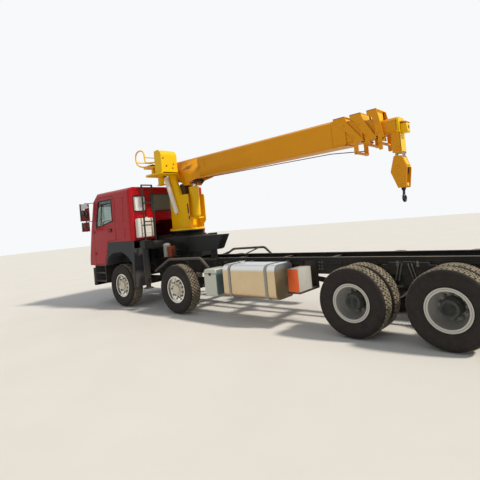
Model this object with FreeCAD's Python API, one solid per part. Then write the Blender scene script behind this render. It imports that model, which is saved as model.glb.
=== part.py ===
import FreeCAD, Part
import math
import os

V = FreeCAD.Vector

# Lengths in millimetres. X points forward, Y to the left, Z up, and Z = 0 is the ground.

# Axle spacings and overhangs, which set the length
FRONT_OVERHANG = 1500
AXLE_1_TO_2 = 2200
AXLE_2_TO_3 = 4200
AXLE_3_TO_4 = 1350
REAR_OVERHANG = 1000
OVERALL_LENGTH = FRONT_OVERHANG + AXLE_1_TO_2 + AXLE_2_TO_3 + AXLE_3_TO_4 + REAR_OVERHANG
AXLE_1 = OVERALL_LENGTH / 2 - FRONT_OVERHANG
AXLE_2 = AXLE_1 - AXLE_1_TO_2
AXLE_3 = AXLE_2 - AXLE_2_TO_3
AXLE_4 = AXLE_3 - AXLE_3_TO_4
REAR_END = -OVERALL_LENGTH / 2
BOGIE = (AXLE_3 + AXLE_4) / 2

# Wheels and tyres
TYRE_RADIUS = 550
TYRE_WIDTH = 310
RIM_RADIUS = 298
RIM_WIDTH = 230
BEAD_FIT = 0.3
OUTER_FACE = 1200
DUAL_SPACING = 350
WHEEL_Y = OUTER_FACE - TYRE_WIDTH / 2
WHEEL_Z = TYRE_RADIUS
DISC_THICK = 14
HAND_HOLES = 10
HUB_RADIUS = 140
SPINDLE_RADIUS = 50
SPINDLE_RUN = 0.1
KINGPIN_Y = 870
KINGPIN_RADIUS = 25
EYE_RADIUS = 40
FIST_HEIGHT = 210

# Frame rails
RAIL_TOP = 1160
RAIL_HEIGHT = 300
RAIL_OUT = 430
RAIL_FLANGE = 85
RAIL_WALL = 9
RAIL_FRONT = AXLE_1 + 1150
RAIL_STEP = 4
RAIL_STEP_X = AXLE_1 - 3120
MEMBER_SEAT = 0.3
CROSSMEMBER_HEIGHT = 200
CROSSMEMBER_LONG = 90
BODY_BOLTS = AXLE_1 - 8250
BODY_BOLT_X = 240
BODY_BOLT_Z = 120
BODY_BOLT_HOLE = 9
SPRING_WIDTH = 80
BEAM_TOP = 575
LEAF_LOW = 892
TRUNNION_Z = 800
TRUNNION_RADIUS = 70
HANGER_THICK = 18

# Cab
CAB_HALF = 1250
CAB_REAR = AXLE_1 - 780
CAB_WALL = 45
TRIM_GAP = 0.3
CAB_TOP = 3050
CAB_FLOOR = 1130
CAB_SIDE_LOW = 1700
SCREEN_FOOT = AXLE_1 + 1340
SCREEN_HEAD = AXLE_1 + 1100
SCREEN_HEAD_Z = 2860
ROOF_FRONT = AXLE_1 + 850
TUNNEL_HALF = 540
TUNNEL_TOP = 2170
TUNNEL_FRONT = AXLE_1 + 750
GLASS_INSET = 12
GLASS_THICK = 6
DOOR_GAP = 9
DOOR_FRONT = AXLE_1 + 1120
DOOR_REAR = AXLE_1 + 10
DOOR_TOP = 2900
HINGE_X = DOOR_FRONT + DOOR_GAP / 2
HINGE_OUT = CAB_HALF + 14
HINGE_PIN = 6
HINGE_EYE = 12
HINGE_HEIGHTS = (1400, 2000)
SEAT_ROOM = CAB_HALF - CAB_WALL - TUNNEL_HALF - CAB_WALL
SEAT_Y = TUNNEL_HALF + CAB_WALL + SEAT_ROOM / 2
SEAT_HALF = SEAT_ROOM / 2 - 70
MIRROR_Y = CAB_HALF + 210

# Crane
SLEW_X = AXLE_1 - 1410
SUBFRAME_TOP = 1690
SUBFRAME_HALF = 450
SUBFRAME_FRONT = AXLE_1 - 970
SUBFRAME_REAR = AXLE_1 - 3110
PEDESTAL_TOP = 1850
BASE_RADIUS = 450
PLATE_OUT = 280
PLATE_THICK = 20
PIVOT_X = AXLE_1 - 1290
BOOM_OVER_ROOF = 60
BOOM_BOTTOM = CAB_TOP + BOOM_OVER_ROOF
PIVOT_Z = BOOM_BOTTOM + 250
DECK_TOP = PIVOT_Z - 70
PIVOT_PIN = 40
BOOM_HEIGHT = 490
BOOM_WIDTH = 400
BOOM_WALL = 8
BOOM_STEP = 10
BOOM_FOOT = AXLE_1 - 1200
BOOM_PAD_GAP = 0.3
RAM_X = AXLE_1 - 1780
RAM_FOOT_Z = 2130
COLUMN_SHOULDER = PIVOT_Z - 625
RAM_EYE_Z = BOOM_BOTTOM - 115
RAM_RADIUS = 100
RAM_ROD = 50
RAM_PIN = 25
RAM_EYE = 40
RAM_EYE_HALF = 60
EYE_PLATE_IN = 75
EYE_PLATE_OUT = 95
RAM_TOP = RAM_EYE_Z - 65
DRUM_X = AXLE_1 - 1945
DRUM_Z = BOOM_BOTTOM - 68
DRUM_FLANGE = 62
DRUM_CORE = 38
DRUM_HALF = 150
ROPE_RADIUS = 8
ROLLER_RADIUS = 24
GUSSET_OUT = 232
GUSSET_THICK = 15
HEAD_X = AXLE_1 - 6950
HEAD_PIN_Z = BOOM_BOTTOM - 200
HOOK_BLOCK_TOP = HEAD_PIN_Z - 130
BLOCK_SHEAVE_Z = HEAD_PIN_Z - 350
BLOCK_FOOT = HEAD_PIN_Z - 655
HOOK_Z = HEAD_PIN_Z - 820

# Outriggers
JACK_X = AXLE_1 - 1140
JACK_Y = 1150
JACK_HALF = 75
JACK_TOP = 1690
JACK_FOOT = 530
BEAM_Z = 1560
BEAM_HALF = 85
HOUSING_WALL = 12
SLIDE_GAP = 0.3


def at(distance):
    """X of a plane this far ahead of the front axle."""
    return AXLE_1 + distance


def block(x0, x1, y0, y1, z0, z1):
    low = V(min(x0, x1), min(y0, y1), min(z0, z1))
    return Part.makeBox(abs(x1 - x0), abs(y1 - y0), abs(z1 - z0), low)


def rod(start, end, radius):
    """Round bar between two points."""
    run = V(*end) - V(*start)
    return Part.makeCylinder(radius, run.Length, V(*start), run)


def rounded_wire(corners):
    """Closed outline; a corner is (point) or (point, radius) and is rounded by an arc."""
    points = [c[0] if isinstance(c[0], V) else V(*c[0]) for c in corners]
    radii = [c[1] if len(c) > 1 else 0 for c in corners]
    count = len(points)
    ends = []
    for i in range(count):
        here = points[i]
        before = (points[i - 1] - here).normalize()
        after = (points[(i + 1) % count] - here).normalize()
        if radii[i] == 0:
            ends.append((here, None, here))
            continue
        half = before.getAngle(after) / 2
        reach = radii[i] / math.tan(half)
        middle_way = (before + after).normalize()
        centre = here + middle_way * (radii[i] / math.sin(half))
        ends.append((here + before * reach, centre - middle_way * radii[i], here + after * reach))
    edges = []
    for i in range(count):
        first, middle, last = ends[i]
        if middle is not None:
            edges.append(Part.Arc(first, middle, last).toShape())
        following = ends[(i + 1) % count][0]
        if last.distanceToPoint(following) > 0.001:
            edges.append(Part.LineSegment(last, following).toShape())
    return Part.Wire(edges)


def prism(corners, place, along):
    """Solid of an outline of (a, b) or (a, b, radius) corners, placed and extruded."""
    placed = [(place(c[0], c[1]), c[2] if len(c) > 2 else 0) for c in corners]
    return Part.Face(rounded_wire(placed)).extrude(along)


def side_form(corners, y0, y1):
    """Outline in X and Z, extruded across from y0 to y1."""
    return prism(corners, lambda x, z: V(x, y0, z), V(0, y1 - y0, 0))


def cross_form(corners, x0, x1):
    """Outline in Y and Z, extruded along from x0 to x1."""
    return prism(corners, lambda y, z: V(x0, y, z), V(x1 - x0, 0, 0))


def plan_form(corners, z0, z1):
    """Outline in X and Y, extruded up from z0 to z1."""
    return prism(corners, lambda x, y: V(x, y, z0), V(0, 0, z1 - z0))


def turned(profile, centre):
    """Solid of a profile of (radius, y) corners, turned round an axle line along Y."""
    points = [V(centre[0] + r, centre[1] + y, centre[2]) for r, y in profile]
    face = Part.Face(Part.makePolygon(points + [points[0]]))
    return face.revolve(V(*centre), V(0, 1, 0), 360)


def pipe(points, radius, bend):
    """Round tube along straight runs joined by arcs of one bend radius."""
    corners = [V(*p) for p in points]
    edges = []
    start = corners[0]
    for i in range(1, len(corners) - 1):
        here = corners[i]
        before = (corners[i - 1] - here).normalize()
        after = (corners[i + 1] - here).normalize()
        half = before.getAngle(after) / 2
        reach = bend / math.tan(half)
        middle_way = (before + after).normalize()
        centre = here + middle_way * (bend / math.sin(half))
        first = here + before * reach
        edges.append(Part.LineSegment(start, first).toShape())
        start = here + after * reach
        edges.append(Part.Arc(first, centre - middle_way * bend, start).toShape())
    edges.append(Part.LineSegment(start, corners[-1]).toShape())
    path = Part.Wire(edges)
    ring = Part.makeCircle(radius, corners[0], corners[1] - corners[0])
    return path.makePipeShell([Part.Wire([ring])], True, False)


def join(shapes):
    return shapes[0].multiFuse(shapes[1:]).removeSplitter()


def group(shapes):
    return Part.makeCompound(shapes)


def mirrored(shape):
    return shape.mirror(V(0, 0, 0), V(0, 1, 0))


def pair(shape):
    return group([shape, mirrored(shape)])


def sided(shape, side):
    """The left-hand shape for side 1, its mirror image for side -1."""
    return shape if side > 0 else mirrored(shape)


def save(name, shape):
    solids = shape.Solids
    kept = solids[0] if len(solids) == 1 else Part.makeCompound(solids)
    kept.exportStep("parts/" + name + ".step")


# Wheels


def tyre(x, y):
    half = TYRE_WIDTH / 2
    bead = RIM_WIDTH / 2
    inner = RIM_RADIUS - 12 + BEAD_FIT
    profile = [
        (inner, -bead), (RIM_RADIUS + 4, -bead), (RIM_RADIUS + 40, -half + 18), (TYRE_RADIUS - 95, -half),
        (TYRE_RADIUS - 18, -half + 22), (TYRE_RADIUS, -half + 45), (TYRE_RADIUS, half - 45),
        (TYRE_RADIUS - 18, half - 22), (TYRE_RADIUS - 95, half), (RIM_RADIUS + 40, half - 18),
        (RIM_RADIUS + 4, bead), (inner, bead),
    ]
    return turned(profile, (x, y, WHEEL_Z))


def rim_barrel(x, y):
    """Barrel with its two flanges, open through the middle."""
    seat = RIM_RADIUS - 12
    bead = RIM_WIDTH / 2
    profile = [
        (seat - 14, -bead - 12), (RIM_RADIUS, -bead - 12), (RIM_RADIUS, -bead - 2),
        (seat, -bead), (seat, bead), (RIM_RADIUS, bead + 2), (RIM_RADIUS, bead + 12),
        (seat - 14, bead + 12),
    ]
    return turned(profile, (x, y, WHEEL_Z))


def hand_holes(x, y0, y1, circle, radius):
    holes = []
    for i in range(HAND_HOLES):
        angle = 2 * math.pi * i / HAND_HOLES
        hx = x + circle * math.cos(angle)
        hz = WHEEL_Z + circle * math.sin(angle)
        holes.append(rod((hx, y0, hz), (hx, y1, hz), radius))
    return group(holes)


def front_rim(x):
    """Disc near the outer face, hand holes round it, and a hub that stands out."""
    y = WHEEL_Y
    face = y + 70
    disc = turned([(SPINDLE_RADIUS + SPINDLE_RUN, face - 40 - y), (HUB_RADIUS, face - 40 - y),
                   (RIM_RADIUS - 20, face - 14 - y), (RIM_RADIUS - 20, face - y),
                   (HUB_RADIUS + 40, face - 20 - y), (HUB_RADIUS + 40, face - 8 - y),
                   (115, face - 8 - y), (100, face + 62 - y), (0, face + 62 - y),
                   (0, face - y), (SPINDLE_RADIUS + SPINDLE_RUN, face - y)],
                  (x, y, WHEEL_Z))
    hub = turned([(SPINDLE_RADIUS + SPINDLE_RUN, -85), (120, -85), (120, face - 40 - y),
                  (SPINDLE_RADIUS + SPINDLE_RUN, face - 40 - y)], (x, y, WHEEL_Z))
    disc = disc.cut(hand_holes(x, face - 60, face + 10, 225, 27))
    return join([rim_barrel(x, y), disc, hub])


def rear_rims(x):
    """Two dished rims back to back on one hub and drum."""
    rims = []
    inner_y = WHEEL_Y - DUAL_SPACING
    joint = WHEEL_Y - DUAL_SPACING / 2
    rows = [(WHEEL_Y, 1), (inner_y, -1)]
    for y, way in rows:
        near = joint - y
        profile = [(HUB_RADIUS - 20, near), (HUB_RADIUS + 60, near), (RIM_RADIUS - 24, near + 110 * way),
                   (RIM_RADIUS - 24, near + 128 * way), (HUB_RADIUS + 58, near + DISC_THICK * way),
                   (HUB_RADIUS - 20, near + DISC_THICK * way)]
        rims.append(turned(profile, (x, y, WHEEL_Z)))
        rims.append(rim_barrel(x, y))
    hub = turned([(SPINDLE_RADIUS + SPINDLE_RUN, -DUAL_SPACING - 60), (HUB_RADIUS + 40, -DUAL_SPACING - 60),
                  (HUB_RADIUS + 40, -DUAL_SPACING + 60), (HUB_RADIUS, -DUAL_SPACING + 70),
                  (HUB_RADIUS, -30), (110, 40), (95, 78), (0, 78), (0, 25),
                  (SPINDLE_RADIUS + SPINDLE_RUN, 25)], (x, WHEEL_Y, WHEEL_Z))
    return join(rims + [hub])


# Name, axle line, side
STEERED_WHEELS = [
    ("front_left", AXLE_1, 1), ("front_right", AXLE_1, -1),
    ("second_left", AXLE_2, 1), ("second_right", AXLE_2, -1),
]
DRIVEN_WHEELS = [
    ("third_left", AXLE_3, 1), ("third_right", AXLE_3, -1),
    ("fourth_left", AXLE_4, 1), ("fourth_right", AXLE_4, -1),
]


def knuckle(x):
    """Fork over the axle beam's end, with the spindle that carries the hub."""
    arm = 90
    fist = FIST_HEIGHT / 2
    back = block(x - 60, x + 60, KINGPIN_Y + EYE_RADIUS + 6, KINGPIN_Y + 80, WHEEL_Z - fist, WHEEL_Z + fist)
    top = block(x - 45, x + 45, KINGPIN_Y - 45, KINGPIN_Y + EYE_RADIUS + 8, WHEEL_Z + fist - 30, WHEEL_Z + fist)
    low = block(x - 45, x + 45, KINGPIN_Y - 45, KINGPIN_Y + EYE_RADIUS + 8, WHEEL_Z - fist, WHEEL_Z - fist + 30)
    steer = block(x - arm - 60, x - 40, KINGPIN_Y - 40, KINGPIN_Y, WHEEL_Z - fist, WHEEL_Z - fist + 22)
    spindle = rod((x, KINGPIN_Y + 60, WHEEL_Z), (x, WHEEL_Y + 66, WHEEL_Z), SPINDLE_RADIUS)
    bore = rod((x, KINGPIN_Y, WHEEL_Z - 200), (x, KINGPIN_Y, WHEEL_Z + 200), KINGPIN_RADIUS + SPINDLE_RUN)
    return join([back, top, low, steer, spindle]).cut(bore)


def build_wheels():
    for name, x, side in STEERED_WHEELS:
        save("tyre_" + name, sided(tyre(x, WHEEL_Y), side))
        save("rim_" + name, sided(front_rim(x), side))
        save("knuckle_" + name, sided(knuckle(x), side))
    for name, x, side in DRIVEN_WHEELS:
        tyres = group([tyre(x, WHEEL_Y), tyre(x, WHEEL_Y - DUAL_SPACING)])
        save("tyres_" + name, sided(tyres, side))
        save("rims_" + name, sided(rear_rims(x), side))


# Frame, axles and springs


def rail():
    """Channel rail, doubled behind the crane, where it stands a little higher."""
    web = block(RAIL_FRONT, REAR_END + 40, RAIL_OUT - RAIL_WALL, RAIL_OUT, RAIL_TOP - RAIL_HEIGHT, RAIL_TOP)
    top = block(RAIL_FRONT, REAR_END + 40, RAIL_OUT - RAIL_FLANGE, RAIL_OUT, RAIL_TOP - RAIL_WALL, RAIL_TOP)
    low = block(RAIL_FRONT, REAR_END + 40, RAIL_OUT - RAIL_FLANGE, RAIL_OUT,
                RAIL_TOP - RAIL_HEIGHT, RAIL_TOP - RAIL_HEIGHT + RAIL_WALL)
    front_top = block(RAIL_FRONT + 1, RAIL_STEP_X, RAIL_OUT - RAIL_FLANGE - 1, RAIL_OUT + 1, RAIL_TOP - RAIL_STEP, RAIL_TOP + 1)
    rail = join([web, top, low]).cut(front_top)
    mid = RAIL_TOP - RAIL_HEIGHT / 2
    for dx in (-BODY_BOLT_X / 2, BODY_BOLT_X / 2):
        for dz in (-BODY_BOLT_Z / 2, BODY_BOLT_Z / 2):
            hole = rod((BODY_BOLTS + dx, RAIL_OUT - 20, mid + dz), (BODY_BOLTS + dx, RAIL_OUT + 5, mid + dz), BODY_BOLT_HOLE)
            rail = rail.cut(hole)
    return rail


def crossmember(x):
    """Channel across the frame, open to the rear."""
    half = RAIL_OUT - RAIL_WALL - MEMBER_SEAT
    mid = RAIL_TOP - RAIL_HEIGHT / 2
    outer = block(x, x + CROSSMEMBER_LONG, -half, half, mid - CROSSMEMBER_HEIGHT / 2, mid + CROSSMEMBER_HEIGHT / 2)
    inner = block(x, x + CROSSMEMBER_LONG - RAIL_WALL, -half, half,
                  mid - CROSSMEMBER_HEIGHT / 2 + RAIL_WALL, mid + CROSSMEMBER_HEIGHT / 2 - RAIL_WALL)
    return outer.cut(inner)


# Distance of each crossmember ahead of the front axle
CROSSMEMBERS = [1060, -1850, -3150, -4400, -5550, -8500]
CARRIER = -4360
SHAFT_Z = 800
CAB_PIVOT_Z = 1010
CAB_PIVOT_RADIUS = 32


def build_frame():
    """Two rails with their hangers and cab posts; the members, shafts and cab pivot seat between them."""
    members = [crossmember(at(x)) for x in CROSSMEMBERS]
    carrier = block(at(CARRIER) - 20, at(CARRIER) + 20, -110, 110, SHAFT_Z - 90, 920)
    members[3] = join([members[3], carrier])
    trunnion = rod((BOGIE, -560, TRUNNION_Z), (BOGIE, 560, TRUNNION_Z), TRUNNION_RADIUS)
    low = TRUNNION_Z - TRUNNION_RADIUS - 20
    hanger = side_form([(BOGIE - 220, RAIL_TOP - 60), (BOGIE + 220, RAIL_TOP - 60), (BOGIE + 110, low, 60),
                        (BOGIE - 110, low, 60)], RAIL_OUT, RAIL_OUT + HANGER_THICK)
    horn = block(at(1060), at(1140), RAIL_OUT - RAIL_WALL, RAIL_OUT + 30, 960, 1060)
    post = cross_form([(RAIL_OUT, 960), (RAIL_OUT, 1090), (600, 1190), (600, CAB_SIDE_LOW), (700, CAB_SIDE_LOW),
                       (700, 1110, 60), (560, 960, 60)], at(-740), at(-670))
    trunnion_bore = rod((BOGIE, 0, TRUNNION_Z), (BOGIE, 600, TRUNNION_Z), TRUNNION_RADIUS + MEMBER_SEAT)
    pivot_bore = rod((at(1100), 0, CAB_PIVOT_Z), (at(1100), 600, CAB_PIVOT_Z), CAB_PIVOT_RADIUS + MEMBER_SEAT)
    side = join([rail(), hanger, horn, post]).cut(group([trunnion_bore, pivot_bore]))
    pivot = rod((at(1100), -700, CAB_PIVOT_Z), (at(1100), 700, CAB_PIVOT_Z), CAB_PIVOT_RADIUS)
    pad = block(at(1050), at(1150), 610, 690, CAB_PIVOT_Z - 20, CAB_FLOOR - 50)
    cab_pivot = join([pivot, pad, mirrored(pad)])
    save("chassis_frame", group([side, mirrored(side), trunnion, cab_pivot] + members))


def beam_axle(x):
    """Dropped beam with an eye at each end for the kingpin."""
    clear = FIST_HEIGHT / 2 - 30 - 1
    half_web = 30
    outline = [(-KINGPIN_Y - 45, WHEEL_Z - clear), (-KINGPIN_Y + 60, WHEEL_Z - clear, 40), (-600, 455, 60),
               (600, 455, 60), (KINGPIN_Y - 60, WHEEL_Z - clear, 40), (KINGPIN_Y + 45, WHEEL_Z - clear),
               (KINGPIN_Y + 45, WHEEL_Z + clear), (KINGPIN_Y - 100, WHEEL_Z + clear, 40), (560, BEAM_TOP, 60),
               (-560, BEAM_TOP, 60), (-KINGPIN_Y + 100, WHEEL_Z + clear, 40), (-KINGPIN_Y - 45, WHEEL_Z + clear)]
    beam = cross_form(outline, x - 45, x + 45)
    ends = []
    for side in (1, -1):
        y = side * KINGPIN_Y
        corner = block(x - 60, x + 60, y, y + 60 * side, 300, 800)
        ends.append(corner.cut(rod((x, y, 250), (x, y, 850), EYE_RADIUS)))
    web = block(x + half_web - 10, x + 60, -540, 540, 480, BEAM_TOP - 25)
    beam = beam.cut(group(ends + [web, block(x - 60, x - half_web + 10, -540, 540, 480, BEAM_TOP - 25)]))
    pins = [rod((x, s * KINGPIN_Y, WHEEL_Z - FIST_HEIGHT / 2 - 8), (x, s * KINGPIN_Y, WHEEL_Z + FIST_HEIGHT / 2 + 8),
                KINGPIN_RADIUS) for s in (1, -1)]
    return join([beam] + pins)


def driven_axle(x):
    """Tube through a banjo housing, with the stub that each hub turns on."""
    tube = rod((x, -600, WHEEL_Z), (x, 600, WHEEL_Z), 85)
    stub = rod((x, -WHEEL_Y - 20, WHEEL_Z), (x, WHEEL_Y + 20, WHEEL_Z), SPINDLE_RADIUS)
    housing = Part.makeSphere(210, V(x, 0, WHEEL_Z))
    nose = Part.makeCone(150, 70, 200, V(x + 150, 0, WHEEL_Z + 20), V(1, 0, 0))
    return join([tube, stub, housing, nose])


def build_axles():
    save("front_axles", group([beam_axle(AXLE_1), beam_axle(AXLE_2)]))
    save("rear_axles", group([driven_axle(AXLE_3), driven_axle(AXLE_4)]))


def leaf_pack(x, low, high, count, length, y):
    """Stack of leaves, each shorter than the one above it."""
    leaves = []
    step = (high - low) / count
    for i in range(count):
        half = length / 2 * (i + 2) / (count + 1)
        leaves.append(block(x - half, x + half, y - SPRING_WIDTH / 2, y + SPRING_WIDTH / 2,
                            low + step * i, low + step * (i + 1)))
    return leaves


def front_spring(x):
    y = RAIL_OUT - SPRING_WIDTH / 2
    half = 720
    seat = block(x - 70, x + 70, y - 50, y + 50, BEAM_TOP, BEAM_TOP + 30)
    leaves = leaf_pack(x, BEAM_TOP + 30, BEAM_TOP + 130, 4, 2 * half, y)
    eye_z = BEAM_TOP + 130
    front = side_form([(x + half - 60, eye_z - 25), (x + half + 20, eye_z - 25, 30),
                       (x + half + 60, RAIL_TOP - RAIL_HEIGHT), (x + half - 120, RAIL_TOP - RAIL_HEIGHT)], y - 45, y + 39)
    rear = side_form([(x - half + 60, eye_z - 25), (x - half - 20, eye_z - 25, 30),
                      (x - half - 60, RAIL_TOP - RAIL_HEIGHT), (x - half + 120, RAIL_TOP - RAIL_HEIGHT)], y - 45, y + 39)
    return join([seat] + leaves + [front, rear])


def bogie_spring():
    """Inverted pack on the trunnion, its ends resting over the two axle tubes."""
    y = RAIL_OUT + HANGER_THICK + SPRING_WIDTH / 2
    half = (AXLE_3 - AXLE_4) / 2
    low = TRUNNION_Z - TRUNNION_RADIUS - 20
    saddle = block(BOGIE - 90, BOGIE + 90, y - SPRING_WIDTH / 2, y + SPRING_WIDTH / 2, low, LEAF_LOW + 200)
    saddle = saddle.cut(rod((BOGIE, y - 60, TRUNNION_Z), (BOGIE, y + 60, TRUNNION_Z), TRUNNION_RADIUS))
    leaves = []
    count = 5
    for i in range(count):
        reach = half * (1 - 0.16 * i) + 60
        z0 = LEAF_LOW + 38 * i
        leaves.append(block(BOGIE - reach, BOGIE + reach, y - SPRING_WIDTH / 2, y + SPRING_WIDTH / 2, z0, z0 + 38))
    feet = []
    for x in (AXLE_3, AXLE_4):
        foot = block(x - 60, x + 60, y - SPRING_WIDTH / 2, y + SPRING_WIDTH / 2, WHEEL_Z, LEAF_LOW)
        feet.append(foot.cut(rod((x, y - 60, WHEEL_Z), (x, y + 60, WHEEL_Z), 85)))
    return join([saddle] + leaves + feet)


def build_springs():
    springs = [front_spring(AXLE_1), front_spring(AXLE_2)]
    springs.append(bogie_spring())
    save("springs", group([pair(s) for s in springs]))


def build_driveline():
    engine = block(at(650), at(-600), -340, 340, 800, 1750)
    gearbox = block(at(-600), at(-1250), -210, 210, 740, 1120)
    start = (at(-1250), 0, SHAFT_Z)
    middle = (at(CARRIER) + 20, 0, SHAFT_Z)
    first = rod(start, middle, 55)
    second = rod((at(CARRIER) - 27, 0, SHAFT_Z), (AXLE_3 + 358, 0, WHEEL_Z + 20), 50)
    last = rod((AXLE_3 - 210, 0, WHEEL_Z + 20), (AXLE_4 + 350.3, 0, WHEEL_Z + 20), 50)
    save("driveline", group([join([engine, gearbox, first]), second, last]))


# Cab


def cab_outline():
    """Side outline: upright rear, raked windscreen, and a floor that steps up over the wheel."""
    return [
        (CAB_REAR, CAB_SIDE_LOW), (CAB_REAR, CAB_TOP - 10), (ROOF_FRONT, CAB_TOP),
        (SCREEN_HEAD, SCREEN_HEAD_Z), (SCREEN_FOOT, 2060), (at(1440), 1640), (at(1450), CAB_FLOOR - 50),
        (at(620), CAB_FLOOR - 50), (at(400), CAB_SIDE_LOW),
    ]


def cab_form(inset, radius):
    """The cab's block, this far inside its skin, with rounded side edges."""
    half = CAB_HALF - inset
    wire = rounded_wire([(V(x, -half, z), 0) for x, z in cab_outline()])
    if inset > 0:
        wire = wire.makeOffset2D(-inset, 2, False, False, False)
    body = Part.Face(wire).extrude(V(0, 2 * half, 0))
    edges = []
    for edge in body.Edges:
        middle = edge.BoundBox.Center
        side = abs(abs(middle.y) - half) < 1
        high = edge.BoundBox.ZMin > CAB_SIDE_LOW - 2 + inset
        front = middle.x > at(1200)
        if side and (high or front) and edge.BoundBox.ZLength + edge.BoundBox.XLength > 20:
            if edge.BoundBox.ZMax > CAB_SIDE_LOW + inset + 5:
                edges.append(edge)
    return body.makeFillet(radius, edges)


def tunnel(grow):
    """Arch over the engine, open at the rear wall."""
    half = TUNNEL_HALF + grow
    top = TUNNEL_TOP + grow
    outline = [(-half, 1000), (-half, top, 140), (half, top, 140), (half, 1000)]
    low = block(TUNNEL_FRONT, RAIL_FRONT + 60 + grow, -half, half, 1000, RAIL_TOP + 60 + grow)
    return join([cross_form(outline, CAB_REAR - 10, TUNNEL_FRONT + grow), low])


def door_outline(gap):
    return [
        (DOOR_FRONT + gap, CAB_FLOOR - 20 - gap, 30), (DOOR_FRONT + gap, 2150, 60),
        (at(900) + gap, DOOR_TOP + gap, 80), (DOOR_REAR - gap, DOOR_TOP + gap, 70),
        (DOOR_REAR - gap, 1760 - gap, 60), (at(440) - gap, 1720 - gap, 60),
        (at(650) - gap, CAB_FLOOR - 20 - gap, 60),
    ]


def door_window():
    return [(at(980), 2100, 50), (at(790), 2835, 60), (at(80), 2835, 60), (at(80), 2230, 60)]


def screen_window():
    low = CAB_HALF - 170
    high = CAB_HALF - 210
    return [(-low, 2120, 70), (-high, 2800, 80), (high, 2800, 80), (low, 2120, 70)]


# Y of one edge, Y of the other, foot and head of each rear window
MIDDLE = CAB_HALF - 630
REAR_WINDOWS = [(-MIDDLE, MIDDLE, 2430, 2850), (CAB_HALF - 450, CAB_HALF - 110, 2440, 2800),
                (110 - CAB_HALF, 450 - CAB_HALF, 2440, 2800)]


def rear_openings(grow):
    cuts = []
    for y0, y1, z0, z1 in REAR_WINDOWS:
        corners = [(y0, z0, 50), (y0, z1, 50), (y1, z1, 50), (y1, z0, 50)]
        cuts.append(cross_form(corners, CAB_REAR - 5, CAB_REAR + CAB_WALL + grow))
    return cuts


def build_cab():
    outer = cab_form(0, 110)
    cavity = cab_form(CAB_WALL, 110 - CAB_WALL).cut(tunnel(CAB_WALL))
    wall = outer.cut(cavity).cut(tunnel(0))
    screen = cross_form(screen_window(), at(1000), at(1500))
    deep = CAB_WALL + 1
    opening = side_form(door_outline(DOOR_GAP), CAB_HALF - deep, CAB_HALF + 5)
    shell = wall.cut(group([screen, opening, mirrored(opening)] + rear_openings(5)))
    hinges = []
    for z in HINGE_HEIGHTS:
        pin = rod((HINGE_X, HINGE_OUT, z - 34), (HINGE_X, HINGE_OUT, z + 34), HINGE_PIN)
        lugs = []
        for low, high in ((-34, -20), (20, 34)):
            lugs.append(block(HINGE_X, HINGE_X + 60, CAB_HALF, HINGE_OUT + 8, z + low, z + high))
            lugs.append(rod((HINGE_X, HINGE_OUT, z + low), (HINGE_X, HINGE_OUT, z + high), HINGE_EYE))
        hinges += [join([pin] + lugs)]
    save("cab_shell", join([shell] + hinges + [mirrored(h) for h in hinges]))

    pane = cab_form(GLASS_INSET, 110 - GLASS_INSET).cut(cab_form(GLASS_INSET + GLASS_THICK, 92))
    save("cab_glass", group([pane.common(screen)] + [pane.common(w) for w in rear_openings(5)]))

    leaf = side_form(door_outline(0), CAB_HALF - CAB_WALL, CAB_HALF)
    window = side_form(door_window(), CAB_HALF - deep, CAB_HALF + 5)
    leaf = leaf.cut(window)
    for z in HINGE_HEIGHTS:
        knuckle_eye = rod((HINGE_X, HINGE_OUT, z - 19), (HINGE_X, HINGE_OUT, z + 19), HINGE_EYE)
        strap = block(DOOR_FRONT - 70, HINGE_X, CAB_HALF, HINGE_OUT + 8, z - 19, z + 19)
        bore = rod((HINGE_X, HINGE_OUT, z - 30), (HINGE_X, HINGE_OUT, z + 30), HINGE_PIN + SPINDLE_RUN)
        leaf = join([leaf, strap, knuckle_eye]).cut(bore)
    handle = block(at(330), at(190), CAB_HALF, CAB_HALF + 30, 1990, 2030)
    grip = block(at(310), at(210), CAB_HALF, CAB_HALF + 15, 1985, 2035)
    leaf = join([leaf, handle.cut(grip)])
    glass = side_form(door_window(), CAB_HALF - GLASS_INSET - GLASS_THICK, CAB_HALF - GLASS_INSET)
    for name, side in (("left", 1), ("right", -1)):
        save("door_" + name, sided(leaf, side))
        save("door_glass_" + name, sided(glass, side))


def seat(y):
    floor = CAB_SIDE_LOW + CAB_WALL
    base = block(at(-60), at(300), y - SEAT_HALF + 60, y + SEAT_HALF - 60, floor, 1950)
    cushion = side_form([(at(-140), 1950), (at(-140), 2080, 30), (at(380), 2110, 50), (at(380), 1980, 30),
                         (at(340), 1950)], y - SEAT_HALF, y + SEAT_HALF)
    back = side_form([(at(-140), 2040), (at(-270), 2780, 40), (at(-170), 2800, 40), (at(-20), 2082)],
                     y - SEAT_HALF + 10, y + SEAT_HALF - 10)
    return join([base, cushion, back])


def build_interior():
    half = CAB_HALF - CAB_WALL - TRIM_GAP
    dash = side_form([(at(1000), 1760, 40), (at(960), 2010, 60), (at(1180), 2080, 40), (at(1290), 2020),
                      (at(1330), 1760)], -half, half)
    post = rod((at(1010), SEAT_Y, 1900), (at(800), SEAT_Y, 2150), 25)
    hub = rod((at(815), SEAT_Y, 2130), (at(785), SEAT_Y, 2166), 60)
    ring = Part.makeTorus(220, 16, V(at(795), SEAT_Y, 2155), V(-0.64, 0, 0.77))
    spokes = rod((at(795), SEAT_Y - 222, 2155), (at(795), SEAT_Y + 222, 2155), 10)
    room = cab_form(CAB_WALL + TRIM_GAP, 110 - CAB_WALL - TRIM_GAP)
    wheel = join([post, hub, ring, spokes, dash.common(room)])
    bunk = block(CAB_REAR + CAB_WALL, at(-330), -half, half, TUNNEL_TOP + CAB_WALL, TUNNEL_TOP + CAB_WALL + 130)
    save("cab_interior", group([wheel, seat(SEAT_Y), seat(-SEAT_Y), bunk.common(room)]))


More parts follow.
